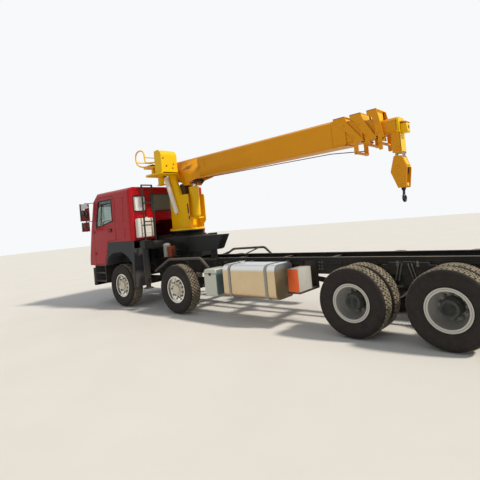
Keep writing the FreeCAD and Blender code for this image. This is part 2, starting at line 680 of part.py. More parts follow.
def build_cab_fittings():
    front = at(1500)
    wide = CAB_HALF - 10
    straight = CAB_HALF - 350
    inside = wide - 60
    bumper = plan_form([(at(1232), -wide), (at(1232), wide), (at(1420), wide, 150), (front, straight, 200),
                        (front, -straight, 200), (at(1420), -wide, 150)], 520, 1000)
    pocket = plan_form([(at(1100), -inside), (at(1100), inside), (at(1400), inside, 100),
                        (front - 40, straight - 20, 180), (front - 40, -straight + 20, 180),
                        (at(1400), -inside, 100)], 540, 980)
    lamp_in = CAB_HALF - 430
    lamp_out = CAB_HALF - 160
    lamp = block(front - 110, front + 10, lamp_in, lamp_out, 690, 880)
    slot = block(front - 100, front + 10, -420, 420, 620, 900)
    bracket = block(RAIL_FRONT, front - 20, RAIL_OUT - 60, RAIL_OUT - RAIL_WALL, 900, 1000)
    shell = bumper.cut(pocket).cut(group([lamp, mirrored(lamp), slot]))
    save("front_bumper", join([shell, bracket, mirrored(bracket)]))

    body = plan_form([(at(1280), lamp_in), (at(1280), lamp_out), (at(1450), lamp_out), (at(1484), lamp_in)], 690, 880)
    tail = block(REAR_END + 60, REAR_END + 100, 620, 980, 940, 1060)
    save("lamps", group([pair(body), pair(tail)]))

    rows = []
    for i in range(5):
        z = 1200 + 85 * i
        rows.append(block(at(1430), at(1466), -700, 700, z, z + 45))
    frame = block(at(1430), at(1456), -720, 720, 1180, 1610)
    save("grille", join([frame] + rows).cut(cab_form(0, 110)))


def mirror_unit():
    y = MIRROR_Y
    head = plan_form([(at(1190), y - 130, 25), (at(1190), y + 120, 25), (at(1110), y + 130, 20),
                      (at(1110), y - 130, 20)], 2330, 2800)
    low = plan_form([(at(1180), y - 110, 25), (at(1180), y + 100, 25), (at(1115), y + 110, 20),
                     (at(1115), y - 110, 20)], 2040, 2290)
    stem = rod((at(1150), y - 30, 2030), (at(1150), y - 30, 2830), 12)
    top = rod((at(1150), y - 30, 2815), (at(1050), CAB_HALF - 20, 2815), 9)
    bottom = rod((at(1150), y - 30, 2310), (at(1180), CAB_HALF - 20, 2310), 9)
    return join([stem, head, low, top, bottom])


def build_mirrors():
    visor = side_form([(at(1100), 2900), (at(1070), 2925), (at(1250), 2860, 20), (at(1330), 2720), (at(1310), 2716),
                       (at(1238), 2842)], 170 - CAB_HALF, CAB_HALF - 170)
    clear = cab_form(0, 110)
    arm = block(at(1060), at(1180), -20, 20, 2850, 2880)
    stays = [arm.translated(V(0, y, 0)).cut(clear) for y in (-900, 0, 900)]
    save("mirrors", group([pair(mirror_unit().cut(clear)), join([visor.cut(clear)] + stays)]))


def arch():
    """Plastic arch under the cab's step, with a liner over the wheel and a flap behind it."""
    opening = [(at(560), 1080), (at(430), 1400, 180), (at(-430), 1440, 180), (at(-665), 1150, 120),
               (at(-665), 540)]
    skin = side_form([(at(620), 1080), (at(400), CAB_SIDE_LOW), (CAB_REAR, CAB_SIDE_LOW), (CAB_REAR, 1300, 60),
                      (at(-700), 540)] + opening[::-1], CAB_HALF - 25, CAB_HALF - 3)
    liner = side_form([(at(580), 1080), (at(446), 1420, 195), (at(-440), 1460, 195), (at(-685), 1160, 140),
                       (at(-685), 540)] + opening[::-1], 790, CAB_HALF - 3)
    return join([skin, liner])


HOOP_RADIUS = 29
HOOP_Y = WHEEL_Y + 55
STAY_FOOT = RAIL_TOP - 50


def hoop():
    """Bent tube over the second wheel, on a stay from the frame."""
    ahead = AXLE_2 + TYRE_RADIUS
    behind = AXLE_2 - TYRE_RADIUS
    over = 2 * TYRE_RADIUS
    tube = pipe([(ahead + 250, HOOP_Y, over - 160), (ahead - 300, HOOP_Y, over + 115),
                 (behind - 270, HOOP_Y, over + 140), (behind - 500, HOOP_Y, over - 60)], HOOP_RADIUS, 160)
    web = block(behind - 300, ahead, 0, RAIL_OUT + MEMBER_SEAT, STAY_FOOT - 60, STAY_FOOT + 60)
    stays = [rod((x, RAIL_OUT, STAY_FOOT), (x, HOOP_Y, z), 16).cut(web)
             for x, z in ((ahead - 400, over + 117), (behind - 100, over + 136))]
    return tube, stays


def build_arches():
    save("wheel_arches", pair(arch()))


def step_box():
    x0 = at(665)
    x1 = at(1230)
    inner = CAB_HALF - 350
    outer = block(x0, x1, inner, CAB_HALF - 15, 630, CAB_FLOOR - 50)
    upper = block(x0 + 25, x1 - 25, inner + 25, CAB_HALF + 50, 880, CAB_FLOOR - 70)
    lower = block(x0 + 25, x1 - 25, inner + 25, CAB_HALF + 50, 655, 855)
    return outer.cut(group([upper, lower]))


def ladder():
    x = at(-1000)
    foot = 1590
    top = 3070
    rails = [block(x - 12, x + 12, y - 18, y + 18, foot, top) for y in (740, 1030)]
    rungs = [rod((x, 740, z), (x, 1030, z), 11) for z in (1700, 1925, 2150, 2375, 2600, 2825)]
    head = block(x - 12, x + 12, 722, 1048, top - 30, top)
    shoe = block(JACK_X + BEAM_HALF + HOUSING_WALL, x + 12, 722, JACK_Y - 120, foot, foot + 40)
    return join(rails + rungs + [head, shoe])


def build_access():
    save("access_steps", group([pair(step_box()), ladder()]))


# Tanks and boxes on the frame


def build_side_units():
    def tank_outline(y0, y1, z0, z1, r):
        return [(y0, z0, r), (y0, z1, r), (y1, z1, r), (y1, z0, r)]

    rear = at(-5020)
    front = at(-3750)
    tank = cross_form(tank_outline(640, 1200, 490, 1120, 110), rear, front)
    cap = rod((front - 270, 900, 1100), (front - 270, 900, 1160), 60)
    tank = join([tank, cap])
    straps = []
    for x in (at(-3920), at(-4810)):
        outer = cross_form(tank_outline(633, 1207, 483, 1127, 117), x - 30, x + 30)
        inner = cross_form(tank_outline(640, 1200, 490, 1120, 110), x - 40, x + 40)
        arm = block(x - 30, x + 30, RAIL_OUT, 640, 880, 1100)
        straps.append(join([outer, arm]).cut(inner))
    save("fuel_tank", group([tank]))

    box = cross_form([(760, 490, 40), (760, 1010, 60), (1200, 1010, 120), (1200, 490, 120)], at(-3560), at(-3190))
    shelf = block(at(-3500), at(-3250), RAIL_OUT, 760, 900, 940)
    battery = block(at(-5420), at(-5200), 650, 1060, 640, 1035)
    tray = block(at(-5440), at(-5180), RAIL_OUT, 1070, 610, 640)
    riser = block(at(-5440), at(-5180), RAIL_OUT, RAIL_OUT + 20, 610, 1100)
    air = rod((at(-4900), -800, 800), (at(-3900), -800, 800), 150)
    hangers = [block(at(x) - 25, at(x) + 25, -800, -RAIL_OUT, 930, 990) for x in (-4700, -4100)]
    air_tank = join([air] + hangers)
    silencer = cross_form(tank_outline(-1180, -640, 520, 1000, 90), at(-3650), at(-3150))
    pipe_out = rod((at(-3400), -660, 700), (at(-3400), -520, 700), 55)
    mount = block(at(-3500), at(-3300), -640, -RAIL_OUT, 900, 960)
    save("side_boxes", group([join([box, shelf]), join([battery, tray, riser]), air_tank,
                              join([silencer, mount, pipe_out])]))

    tubes = []
    for side in (1, -1):
        tube, stays = hoop()
        tubes.append(sided(join([tube] + stays), side))
    save("fender_stays", group(tubes + straps))


def build_tail():
    bar = block(REAR_END, REAR_END + 60, -1150, 1150, 470, 590)
    drop = block(REAR_END + 10, REAR_END + 50, RAIL_OUT - 80, RAIL_OUT, 590, RAIL_TOP - RAIL_HEIGHT)
    end = block(REAR_END, REAR_END + 40, -RAIL_OUT, RAIL_OUT, RAIL_TOP - RAIL_HEIGHT, RAIL_TOP)
    wing = block(REAR_END + 20, REAR_END + 60, RAIL_OUT, 1000, 930, 1070)
    save("tail_bar", join([bar, drop, mirrored(drop), end, wing, mirrored(wing)]))


# Crane base and outriggers


def build_crane_base():
    seat = RAIL_TOP - RAIL_STEP
    outline = [(SUBFRAME_FRONT, seat), (SUBFRAME_FRONT, SUBFRAME_TOP, 30), (SUBFRAME_REAR, SUBFRAME_TOP, 30),
               (SUBFRAME_REAR + 150, 1480), (SUBFRAME_REAR + 240, 1340), (SUBFRAME_REAR + 240, seat)]
    body = side_form(outline, -SUBFRAME_HALF, SUBFRAME_HALF)
    outer = BEAM_HALF + HOUSING_WALL
    bore = BEAM_HALF + SLIDE_GAP
    housing = block(JACK_X - outer, JACK_X + outer, -950, 950, BEAM_Z - outer, BEAM_Z + outer)
    tunnel_bore = block(JACK_X - bore, JACK_X + bore, -960, 960, BEAM_Z - bore, BEAM_Z + bore)
    post = Part.makeCylinder(BASE_RADIUS - 30, PEDESTAL_TOP - SUBFRAME_TOP, V(SLEW_X, 0, SUBFRAME_TOP))
    ring = Part.makeCylinder(BASE_RADIUS, 40, V(SLEW_X, 0, PEDESTAL_TOP - 40))
    save("crane_base", join([body, housing, post, ring]).cut(tunnel_bore))

    beam = block(JACK_X - BEAM_HALF, JACK_X + BEAM_HALF, 5, JACK_Y, BEAM_Z - BEAM_HALF, BEAM_Z + BEAM_HALF)
    hollow = block(JACK_X - BEAM_HALF + 10, JACK_X + BEAM_HALF - 10, 0, JACK_Y - 90,
                   BEAM_Z - BEAM_HALF + 10, BEAM_Z + BEAM_HALF - 10)
    tube = rod((JACK_X, JACK_Y, 640), (JACK_X, JACK_Y, JACK_TOP - 20), JACK_HALF)
    cap = block(JACK_X - 100, JACK_X + 100, JACK_Y - 110, JACK_Y + 80, 1500, JACK_TOP)
    leg_bore = rod((JACK_X, JACK_Y, 600), (JACK_X, JACK_Y, JACK_TOP - 60), 60 + SPINDLE_RUN)
    arm = join([beam.cut(hollow), tube, cap]).cut(leg_bore)
    leg = rod((JACK_X, JACK_Y, JACK_FOOT + 20), (JACK_X, JACK_Y, JACK_TOP - 70), 60)
    foot = Part.makeCone(130, 100, 26, V(JACK_X, JACK_Y, JACK_FOOT))
    leg = join([leg, foot])
    for name, side in (("left", 1), ("right", -1)):
        save("outrigger_beam_" + name, sided(arm, side))
        save("outrigger_leg_" + name, sided(leg, side))


# Crane column


def column_plate(y0, y1):
    rear = at(-1850)
    return side_form([(at(-1150), PEDESTAL_TOP + 40), (at(-1150), PIVOT_Z + 120, 110), (at(-1430), PIVOT_Z + 120, 110),
                      (at(-1400), PIVOT_Z - 140, 200), (at(-1560), COLUMN_SHOULDER, 80), (rear, COLUMN_SHOULDER, 50), (rear, 2060, 90),
                      (at(-1720), 1950, 60), (at(-1650), PEDESTAL_TOP + 40)], y0, y1)


def build_column():
    inner = PLATE_OUT - PLATE_THICK
    left = column_plate(inner, PLATE_OUT)
    flange = Part.makeCylinder(BASE_RADIUS, 40, V(SLEW_X, 0, PEDESTAL_TOP))
    front = block(at(-1170), at(-1150), -inner, inner, PEDESTAL_TOP + 40, PIVOT_Z - 460)
    middle = block(at(-1580), at(-1560), -inner, inner, PEDESTAL_TOP + 40, COLUMN_SHOULDER)
    lid = block(at(-1580), at(-1150), -inner, inner, COLUMN_SHOULDER - 20, COLUMN_SHOULDER)
    pin = rod((PIVOT_X, -PLATE_OUT - 20, PIVOT_Z), (PIVOT_X, PLATE_OUT, PIVOT_Z), PIVOT_PIN)
    ram_pin = rod((RAM_X, -PLATE_OUT, RAM_FOOT_Z), (RAM_X, PLATE_OUT, RAM_FOOT_Z), RAM_PIN)
    console = side_form([(at(-1550), DECK_TOP), (at(-1550), DECK_TOP + 490, 120), (at(-1460), DECK_TOP + 590, 120),
                         (at(-1280), DECK_TOP + 570, 40), (at(-1280), DECK_TOP)], PLATE_OUT, 770)
    body = join([left, mirrored(left), flange, front, middle, lid, pin, ram_pin, console])
    save("crane_column", body)


def build_platform():
    y0 = PLATE_OUT
    y1 = 800
    plate = plan_form([(at(-1550), y0), (at(-1550), y1, 60), (at(-670), y1, 120), (at(-670), y0, 120)], DECK_TOP - 20, DECK_TOP)
    footrest = block(at(-1260), at(-1160), y0, 600, DECK_TOP - 220, DECK_TOP - 200)
    post = block(at(-1260), at(-1160), y0, y0 + 20, DECK_TOP - 200, DECK_TOP - 20)
    rails = []
    for y in (330, 770):
        loop = pipe([(at(-690), y, DECK_TOP - 1), (at(-690), y, DECK_TOP + 580), (at(-500), y, DECK_TOP + 700),
                     (at(-270), y, DECK_TOP + 610), (at(-330), y, DECK_TOP + 330), (at(-690), y, DECK_TOP + 310)], 16, 45)
        rails.append(loop)
    cross = [rod((at(x), 330, DECK_TOP + up), (at(x), 770, DECK_TOP + up), 14) for x, up in ((-270, 602), (-500, 682))]
    arm = [rod((at(-690), 770, DECK_TOP + 410), (at(-1020), 770, DECK_TOP + 410), 14),
           rod((at(-1020), 770, DECK_TOP + 422), (at(-1020), 770, DECK_TOP - 1), 14)]
    save("seat_platform", join([plate, footrest, post] + rails + cross + arm))
    base = block(at(-900), at(-720), 470, 650, DECK_TOP, DECK_TOP + 150)
    cushion = plan_form([(at(-1000), 350, 60), (at(-1000), 750, 60), (at(-640), 750, 40), (at(-640), 350, 40)],
                        DECK_TOP + 150, DECK_TOP + 240)
    save("operator_seat", join([base, cushion]).cut(group(rails)))


# Boom

# Tail, mouth of each section, from the front axle
BOOM_SECTIONS = [(-1200, -6080), (-1420, -6390), (-1480, -6640), (-1540, -6980)]
# Collar's front and rear edge at the top, the same at the foot, drop of its foot and of its roller below the boom
COLLARS = [
    (-5900, -6130, -6290, -6450, 210, 170),
    (-6370, -6440, -6465, -6540, 110, 65),
    (-6560, -6690, -6710, -6830, 220, 80),
]


def boom_half(i):
    return BOOM_WIDTH / 2 - i * (BOOM_WALL + BOOM_STEP)


def boom_low(i):
    return BOOM_BOTTOM + i * (BOOM_WALL + BOOM_STEP)


def boom_high(i):
    return BOOM_BOTTOM + BOOM_HEIGHT - i * (BOOM_WALL + BOOM_STEP)


def box_outline(half, low, high, cut):
    return [(-half + cut, low), (half - cut, low), (half, low + cut), (half, high - cut), (half - cut, high),
            (-half + cut, high), (-half, high - cut), (-half, low + cut)]


def boom_tube(i):
    tail, mouth = BOOM_SECTIONS[i]
    half = boom_half(i)
    outer = cross_form(box_outline(half, boom_low(i), boom_high(i), 40), at(mouth), at(tail))
    inner = cross_form(box_outline(half - BOOM_WALL, boom_low(i) + BOOM_WALL, boom_high(i) - BOOM_WALL, 37),
                       at(mouth) - 1, at(tail) + 1)
    return outer.cut(inner)


def boom_pads(i, x):
    """Slide pads round a section, which run inside the one outside it."""
    reach = BOOM_STEP - BOOM_PAD_GAP
    half = boom_half(i)
    mid = (boom_low(i) + boom_high(i)) / 2
    side = block(x, x - 160, half, half + reach, mid - 120, mid + 120)
    low = block(x, x - 160, -half + 60, half - 60, boom_low(i) - reach, boom_low(i))
    high = block(x, x - 160, -half + 60, half - 60, boom_high(i), boom_high(i) + reach)
    return [side, mirrored(side), low, high]


def collar(i):
    """Plates round the mouth, with feet that carry a roller for the rope."""
    top_front, top_rear, foot_front, foot_rear, foot_drop, roller_drop = COLLARS[i]
    foot = BOOM_BOTTOM - foot_drop
    half = boom_half(i)
    wide = BOOM_WIDTH / 2 + 14
    top = BOOM_BOTTOM + BOOM_HEIGHT + 20
    side = side_form([(at(top_front), top), (at(top_rear), top), (at(foot_rear), foot + 60), (at(foot_rear) + 20, foot, 20),
                      (at(foot_front), foot, 20)], wide - 14, wide)
    mouth = BOOM_SECTIONS[i][1]
    frame = cross_form([(-wide, boom_low(i) - 30), (-wide, top), (wide, top), (wide, boom_low(i) - 30)],
                       at(mouth) - MEMBER_SEAT - 30, at(mouth) - MEMBER_SEAT)
    hole = cross_form(box_outline(half - BOOM_WALL, boom_low(i) + BOOM_WALL, boom_high(i) - BOOM_WALL, 37),
                      at(mouth) - 40, at(mouth) + 1)
    frame = frame.cut(hole)
    roller_x = at((foot_front + foot_rear) / 2)
    roller_z = BOOM_BOTTOM - roller_drop
    roller = rod((roller_x, -wide, roller_z), (roller_x, wide, roller_z), ROLLER_RADIUS)
    return [side, mirrored(side), frame, roller]


def build_boom():
    first = [boom_tube(0)] + collar(0)
    gusset = side_form([(at(-1520), BOOM_BOTTOM - 20), (at(-1700), BOOM_BOTTOM - 145, 60), (at(-1860), BOOM_BOTTOM - 160, 50), (at(-1900), BOOM_BOTTOM - 70, 60),
                        (at(-2300), BOOM_BOTTOM - 10), (at(-2300), BOOM_BOTTOM + 240), (at(-1520), BOOM_BOTTOM + 240)],
                       BOOM_WIDTH / 2, GUSSET_OUT - 10)
    weld = BOOM_BOTTOM + BOOM_WALL / 2
    eye_plate = side_form([(at(-1690), weld), (at(-1720), BOOM_BOTTOM - 160, 50),
                           (at(-1845), BOOM_BOTTOM - 160, 50), (at(-1870), weld)], EYE_PLATE_IN, EYE_PLATE_OUT)
    eye_boss = rod((RAM_X, EYE_PLATE_IN, RAM_EYE_Z), (RAM_X, GUSSET_OUT, RAM_EYE_Z), RAM_EYE - 5)
    panel = side_form([(at(-1600), BOOM_BOTTOM + 240), (at(-1600), BOOM_BOTTOM + BOOM_HEIGHT - 45),
                       (at(-2230), BOOM_BOTTOM + BOOM_HEIGHT - 45), (at(-2230), BOOM_BOTTOM + 240)],
                      BOOM_WIDTH / 2, BOOM_WIDTH / 2 + 12)
    drum_pin = rod((DRUM_X, -GUSSET_OUT + 10, DRUM_Z), (DRUM_X, GUSSET_OUT - 10, DRUM_Z), 18)
    ears = side_form([(at(-1215), PIVOT_Z + 90, 60), (at(-1370), PIVOT_Z + 90, 60), (at(-1370), PIVOT_Z - 90, 60),
                      (at(-1215), PIVOT_Z - 90, 60)], BOOM_WIDTH / 2, PLATE_OUT - PLATE_THICK - 0.3)
    pivot_bore = rod((PIVOT_X, -300, PIVOT_Z), (PIVOT_X, 300, PIVOT_Z), PIVOT_PIN + SPINDLE_RUN)
    shapes = first + [gusset, mirrored(gusset), eye_plate, mirrored(eye_plate), eye_boss, mirrored(eye_boss), panel, mirrored(panel), drum_pin,
                      ears, mirrored(ears)]
    save("boom_section_1", join(shapes).cut(pivot_bore))
    for i in (1, 2):
        tail = at(BOOM_SECTIONS[i][0])
        save("boom_section_%d" % (i + 1), group([join([boom_tube(i)] + boom_pads(i, tail)), join(collar(i))]))
    low = BOOM_BOTTOM - 10
    high = BOOM_BOTTOM + 290
    foot = HEAD_PIN_Z - 90
    cheek = side_form([(at(-6800), low), (at(-6800), high), (at(-7050), high + 30, 40), (at(-7180), high - 20, 30),
                       (at(-7180), low, 60), (at(-7050), foot, 60), (at(-6880), foot, 60)], 75, 90)
    sheave = rod((HEAD_X, -90, HEAD_PIN_Z), (HEAD_X, 90, HEAD_PIN_Z), 55)
    tip = block(at(-7180), at(-6960), -75, 75, low + 80, high)
    web = block(at(-6980), at(-6800), -91, 91, low, high)
    last = BOOM_SECTIONS[3][0]
    end = block(at(-6980), at(-6965), -boom_half(3) + 8, boom_half(3) - 8, boom_low(3) + 8, boom_high(3) - 8)
    neck = block(at(-6965), at(-6800), 75, boom_half(3) - 4, boom_low(3) + 60, boom_high(3) - 60)
    save("boom_section_4", join([boom_tube(3)] + boom_pads(3, at(last)) + [cheek, mirrored(cheek), sheave, tip, end,
                                                                          neck, mirrored(neck)]))


def build_ram():
    cap = Part.makeSphere(RAM_RADIUS, V(RAM_X, 0, RAM_FOOT_Z + 30)).common(
        block(RAM_X - 120, RAM_X + 120, -120, 120, RAM_FOOT_Z - 80, RAM_FOOT_Z + 30))
    barrel = join([rod((RAM_X, 0, RAM_FOOT_Z + 30), (RAM_X, 0, RAM_TOP), RAM_RADIUS), cap])
    pin_bore = rod((RAM_X, -150, RAM_FOOT_Z), (RAM_X, 150, RAM_FOOT_Z), RAM_PIN + SPINDLE_RUN)
    rod_bore = rod((RAM_X, 0, RAM_FOOT_Z + 70), (RAM_X, 0, RAM_TOP + 10), RAM_ROD + SPINDLE_RUN)
    save("ram_barrel", barrel.cut(group([pin_bore, rod_bore])))
    stem = rod((RAM_X, 0, RAM_FOOT_Z + 90), (RAM_X, 0, RAM_EYE_Z - 20), RAM_ROD)
    eye = rod((RAM_X, -RAM_EYE_HALF, RAM_EYE_Z), (RAM_X, RAM_EYE_HALF, RAM_EYE_Z), RAM_EYE)
    pin = rod((RAM_X, -RAM_EYE_HALF - 8, RAM_EYE_Z), (RAM_X, RAM_EYE_HALF + 8, RAM_EYE_Z), RAM_PIN)
    save("ram_rod", join([stem, eye, pin]))


def build_winch():
    profile = [(18 + SPINDLE_RUN, -DRUM_HALF), (DRUM_FLANGE, -DRUM_HALF), (DRUM_FLANGE, -DRUM_HALF + 10),
               (DRUM_CORE, -DRUM_HALF + 10), (DRUM_CORE, DRUM_HALF - 10), (DRUM_FLANGE, DRUM_HALF - 10),
               (DRUM_FLANGE, DRUM_HALF), (18 + SPINDLE_RUN, DRUM_HALF)]
    save("winch_drum", turned(profile, (DRUM_X, 0, DRUM_Z)))
    line = DRUM_Z + DRUM_CORE + ROPE_RADIUS + 0.3
    roller = at((COLLARS[0][2] + COLLARS[0][3]) / 2)
    low = BOOM_BOTTOM - COLLARS[0][5] + ROLLER_RADIUS + ROPE_RADIUS + 0.3
    save("hoist_rope", pipe([(DRUM_X, 0, line), (at(-2300), 0, line), (at(-5700), 0, line - 45), (roller, 0, low)],
                            ROPE_RADIUS, 400))


def build_hook():
    cheek = side_form([(at(-6830), HOOK_BLOCK_TOP, 15), (at(-6760), BLOCK_SHEAVE_Z), (at(-6840), BLOCK_FOOT, 20),
                       (at(-7060), BLOCK_FOOT, 20), (at(-7140), BLOCK_SHEAVE_Z), (at(-6990), HOOK_BLOCK_TOP, 15)], 70, 90)
    sheave = rod((HEAD_X, -70, BLOCK_SHEAVE_Z), (HEAD_X, 70, BLOCK_SHEAVE_Z), 130)
    cross = block(HEAD_X - 60, HEAD_X + 60, -70, 70, BLOCK_FOOT, BLOCK_FOOT + 75)
    falls = [rod((HEAD_X, y, BLOCK_SHEAVE_Z + 40), (HEAD_X, y, HEAD_PIN_Z - 55.3), ROPE_RADIUS) for y in (-45, -15, 15, 45)]
    swivel_bore = rod((HEAD_X, 0, BLOCK_FOOT - 5), (HEAD_X, 0, BLOCK_FOOT + 45), 18 + SPINDLE_RUN)
    save("hook_block", join([cheek, mirrored(cheek), sheave, cross] + falls).cut(swivel_bore))
    centre = V(HEAD_X, 22, HOOK_Z)
    ring = Part.makeCylinder(75, 44, centre, V(0, -1, 0)).cut(Part.makeCylinder(42, 50, centre + V(0, 3, 0), V(0, -1, 0)))
    mouth = block(HEAD_X - 100, HEAD_X - 8, -30, 30, HOOK_Z + 10, HOOK_Z + 90)
    shank = rod((HEAD_X, 0, HOOK_Z + 50), (HEAD_X, 0, BLOCK_FOOT + 40), 18)
    save("hook", join([ring.cut(mouth), shank]))


os.makedirs("parts", exist_ok=True)
build_wheels()
build_frame()
build_axles()
build_springs()
build_driveline()
build_cab()
build_interior()
build_cab_fittings()
build_mirrors()
build_arches()
build_access()
build_side_units()
build_tail()
build_crane_base()
build_column()
build_platform()
build_boom()
build_ram()
build_winch()
build_hook()
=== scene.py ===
import math

import bmesh
import bpy
from mathutils import Matrix, Vector


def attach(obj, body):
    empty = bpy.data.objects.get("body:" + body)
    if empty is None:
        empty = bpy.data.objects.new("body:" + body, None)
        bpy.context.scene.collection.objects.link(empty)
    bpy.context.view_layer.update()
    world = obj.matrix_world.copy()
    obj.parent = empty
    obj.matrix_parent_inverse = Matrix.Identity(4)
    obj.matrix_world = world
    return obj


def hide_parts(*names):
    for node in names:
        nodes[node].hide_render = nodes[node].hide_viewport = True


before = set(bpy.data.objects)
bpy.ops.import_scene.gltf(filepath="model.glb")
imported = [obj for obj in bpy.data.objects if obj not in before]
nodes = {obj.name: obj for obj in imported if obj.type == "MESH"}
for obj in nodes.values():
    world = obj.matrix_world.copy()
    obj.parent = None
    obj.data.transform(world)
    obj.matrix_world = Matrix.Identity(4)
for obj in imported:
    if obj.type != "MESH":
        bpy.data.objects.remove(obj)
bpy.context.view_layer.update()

# The yard: a pale concrete floor under the wheels, a hazy sky and a soft sun. The camera is a
# standing person's, behind the rear left wheels and tilted a few degrees, and the photograph's
# optical axis lies a little above the middle of the frame.
EYE = Vector((-5.59, 6.662, 1.945))
YAW, PITCH, ROLL = 0.8426, 0.0196, -0.0904
FOCAL_PX, FRAME_PX, AXIS_Y_PX, SENSOR_MM = 390.74, 480, 213.5, 36
SIGHT_LIMIT, YARD_HALF = 200, 60
SUN_FROM, SUN_STRENGTH, SUN_WIDTH = Vector((-0.68, -0.2, 0.7)), 3.1, math.radians(6)
SKY_GLOW = 0.45


def linear(colour):
    """An sRGB hex colour as linear red, green, blue and alpha."""
    parts = [int(colour[i:i + 2], 16) / 255 for i in (1, 3, 5)]
    return [p / 12.92 if p <= 0.04045 else ((p + 0.055) / 1.055) ** 2.4 for p in parts] + [1]


def wire(owner, target, **sockets):
    """Sets sockets of a node, named with _ for a space, or by _ and a number. A value is a number, a
    colour, a socket to link, or a node, whose first output is linked."""
    for name, value in sockets.items():
        socket = target.inputs[int(name[1:]) if name[1:].isdigit() else name.replace("_", " ")]
        if isinstance(value, bpy.types.Node):
            value = value.outputs[0]
        if isinstance(value, bpy.types.NodeSocket):
            owner.node_tree.links.new(value, socket)
        else:
            socket.default_value = value


def node(owner, kind, settings=None, **sockets):
    """A shader node of this kind in a material or world, with its settings and sockets."""
    made = owner.node_tree.nodes.new("ShaderNode" + kind)
    for name, value in (settings or {}).items():
        setattr(made, name, value)
    wire(owner, made, **sockets)
    return made


def shade(material, **sockets):
    """Sets sockets of a material's one Principled shader."""
    wire(material, material.node_tree.nodes["Principled BSDF"], **sockets)


def new_material(name, **sockets):
    """A material of one Principled shader with these sockets."""
    material = bpy.data.materials.new(name)
    material.use_nodes = True
    shade(material, **sockets)
    return material


forward = Vector((math.cos(YAW) * math.cos(PITCH), -math.sin(YAW) * math.cos(PITCH), math.sin(PITCH)))
level = forward.cross(Vector((0, 0, 1))).normalized()
upright = level.cross(forward)
right = math.cos(ROLL) * level + math.sin(ROLL) * upright
above = math.cos(ROLL) * upright - math.sin(ROLL) * level
camera_data = bpy.data.cameras.new("yard_camera")
camera_data.sensor_width = SENSOR_MM
camera_data.lens = FOCAL_PX / FRAME_PX * SENSOR_MM
camera_data.shift_y = (AXIS_Y_PX - FRAME_PX / 2) / FRAME_PX
camera_data.clip_end = SIGHT_LIMIT
camera = bpy.data.objects.new("yard_camera", camera_data)
camera.matrix_world = Matrix.Translation(EYE) @ Matrix((right, above, -forward)).transposed().to_4x4()
bpy.context.scene.collection.objects.link(camera)
bpy.context.scene.camera = camera
bpy.context.scene.view_settings.view_transform = "Standard"

# Brushed concrete: matt, with cloudy stains a metre or so across.
concrete = new_material("pale_concrete_floor", Roughness=0.9)
place = node(concrete, "TexCoord").outputs["Object"]
stain = node(concrete, "TexNoise", Vector=place, Scale=0.8, Detail=6)
tone = node(concrete, "MixRGB", Fac=stain, Color1=linear("#DAD7D0"), Color2=linear("#E4E2DD"))
shade(concrete, Base_Color=tone)
ground = bmesh.new()
bmesh.ops.create_grid(ground, x_segments=1, y_segments=1, size=YARD_HALF)
ground_mesh = bpy.data.meshes.new("floor")
ground.to_mesh(ground_mesh)
ground.free()
ground_mesh.materials.append(concrete)
floor = bpy.data.objects.new("floor", ground_mesh)
bpy.context.scene.collection.objects.link(floor)

# The sky is white haze where it is seen, also through glass and in metal, and a weaker light on all.
sky = bpy.data.worlds.new("hazy_sky")
sky.use_nodes = True
ray = node(sky, "LightPath").outputs
seen = node(sky, "Math", {"operation": "MAXIMUM"}, _0=ray["Is Camera Ray"], _1=ray["Is Transmission Ray"])
seen = node(sky, "Math", {"operation": "MAXIMUM"}, _0=seen, _1=ray["Is Glossy Ray"])
backdrop = node(sky, "Background", Color=linear("#F7F9FB"), Strength=1.0)
glow = sky.node_tree.nodes["Background"]
wire(sky, glow, Color=linear("#EEF3FA"), Strength=SKY_GLOW)
light = node(sky, "MixShader", Fac=seen, _1=glow, _2=backdrop)
wire(sky, sky.node_tree.nodes["World Output"], Surface=light)
bpy.context.scene.world = sky
sun_data = bpy.data.lights.new("hazy_sun", "SUN")
sun_data.energy = SUN_STRENGTH
sun_data.color = linear("#FFF6E8")[:3]
sun_data.angle = SUN_WIDTH
sun = bpy.data.objects.new("hazy_sun", sun_data)
sun.rotation_euler = SUN_FROM.to_track_quat("Z", "Y").to_euler()
bpy.context.scene.collection.objects.link(sun)

# The ladder frame: two pressed channel rails, crossmembers and hangers in satin black chassis
# paint, which is brushed over and grey with road dust on what faces up and near the ground.
# Hexagon bolts in two columns of three hold each crossmember to the rails.
DUST = "#94826A"
RAIL_OUT = 0.43
AXLE_1, AXLE_2, AXLE_3, AXLE_4 = 3.625, 1.425, -2.775, -4.125
MEMBERS_AHEAD = (1.06, -1.85, -3.15, -4.4, -5.55, -8.5)
MEMBER_MIDDLE, BOLT_COLUMNS, BOLT_ROWS, FRAME_BOLT = 0.045, (-0.03, 0.03), (0.95, 1.01, 1.07), 0.022


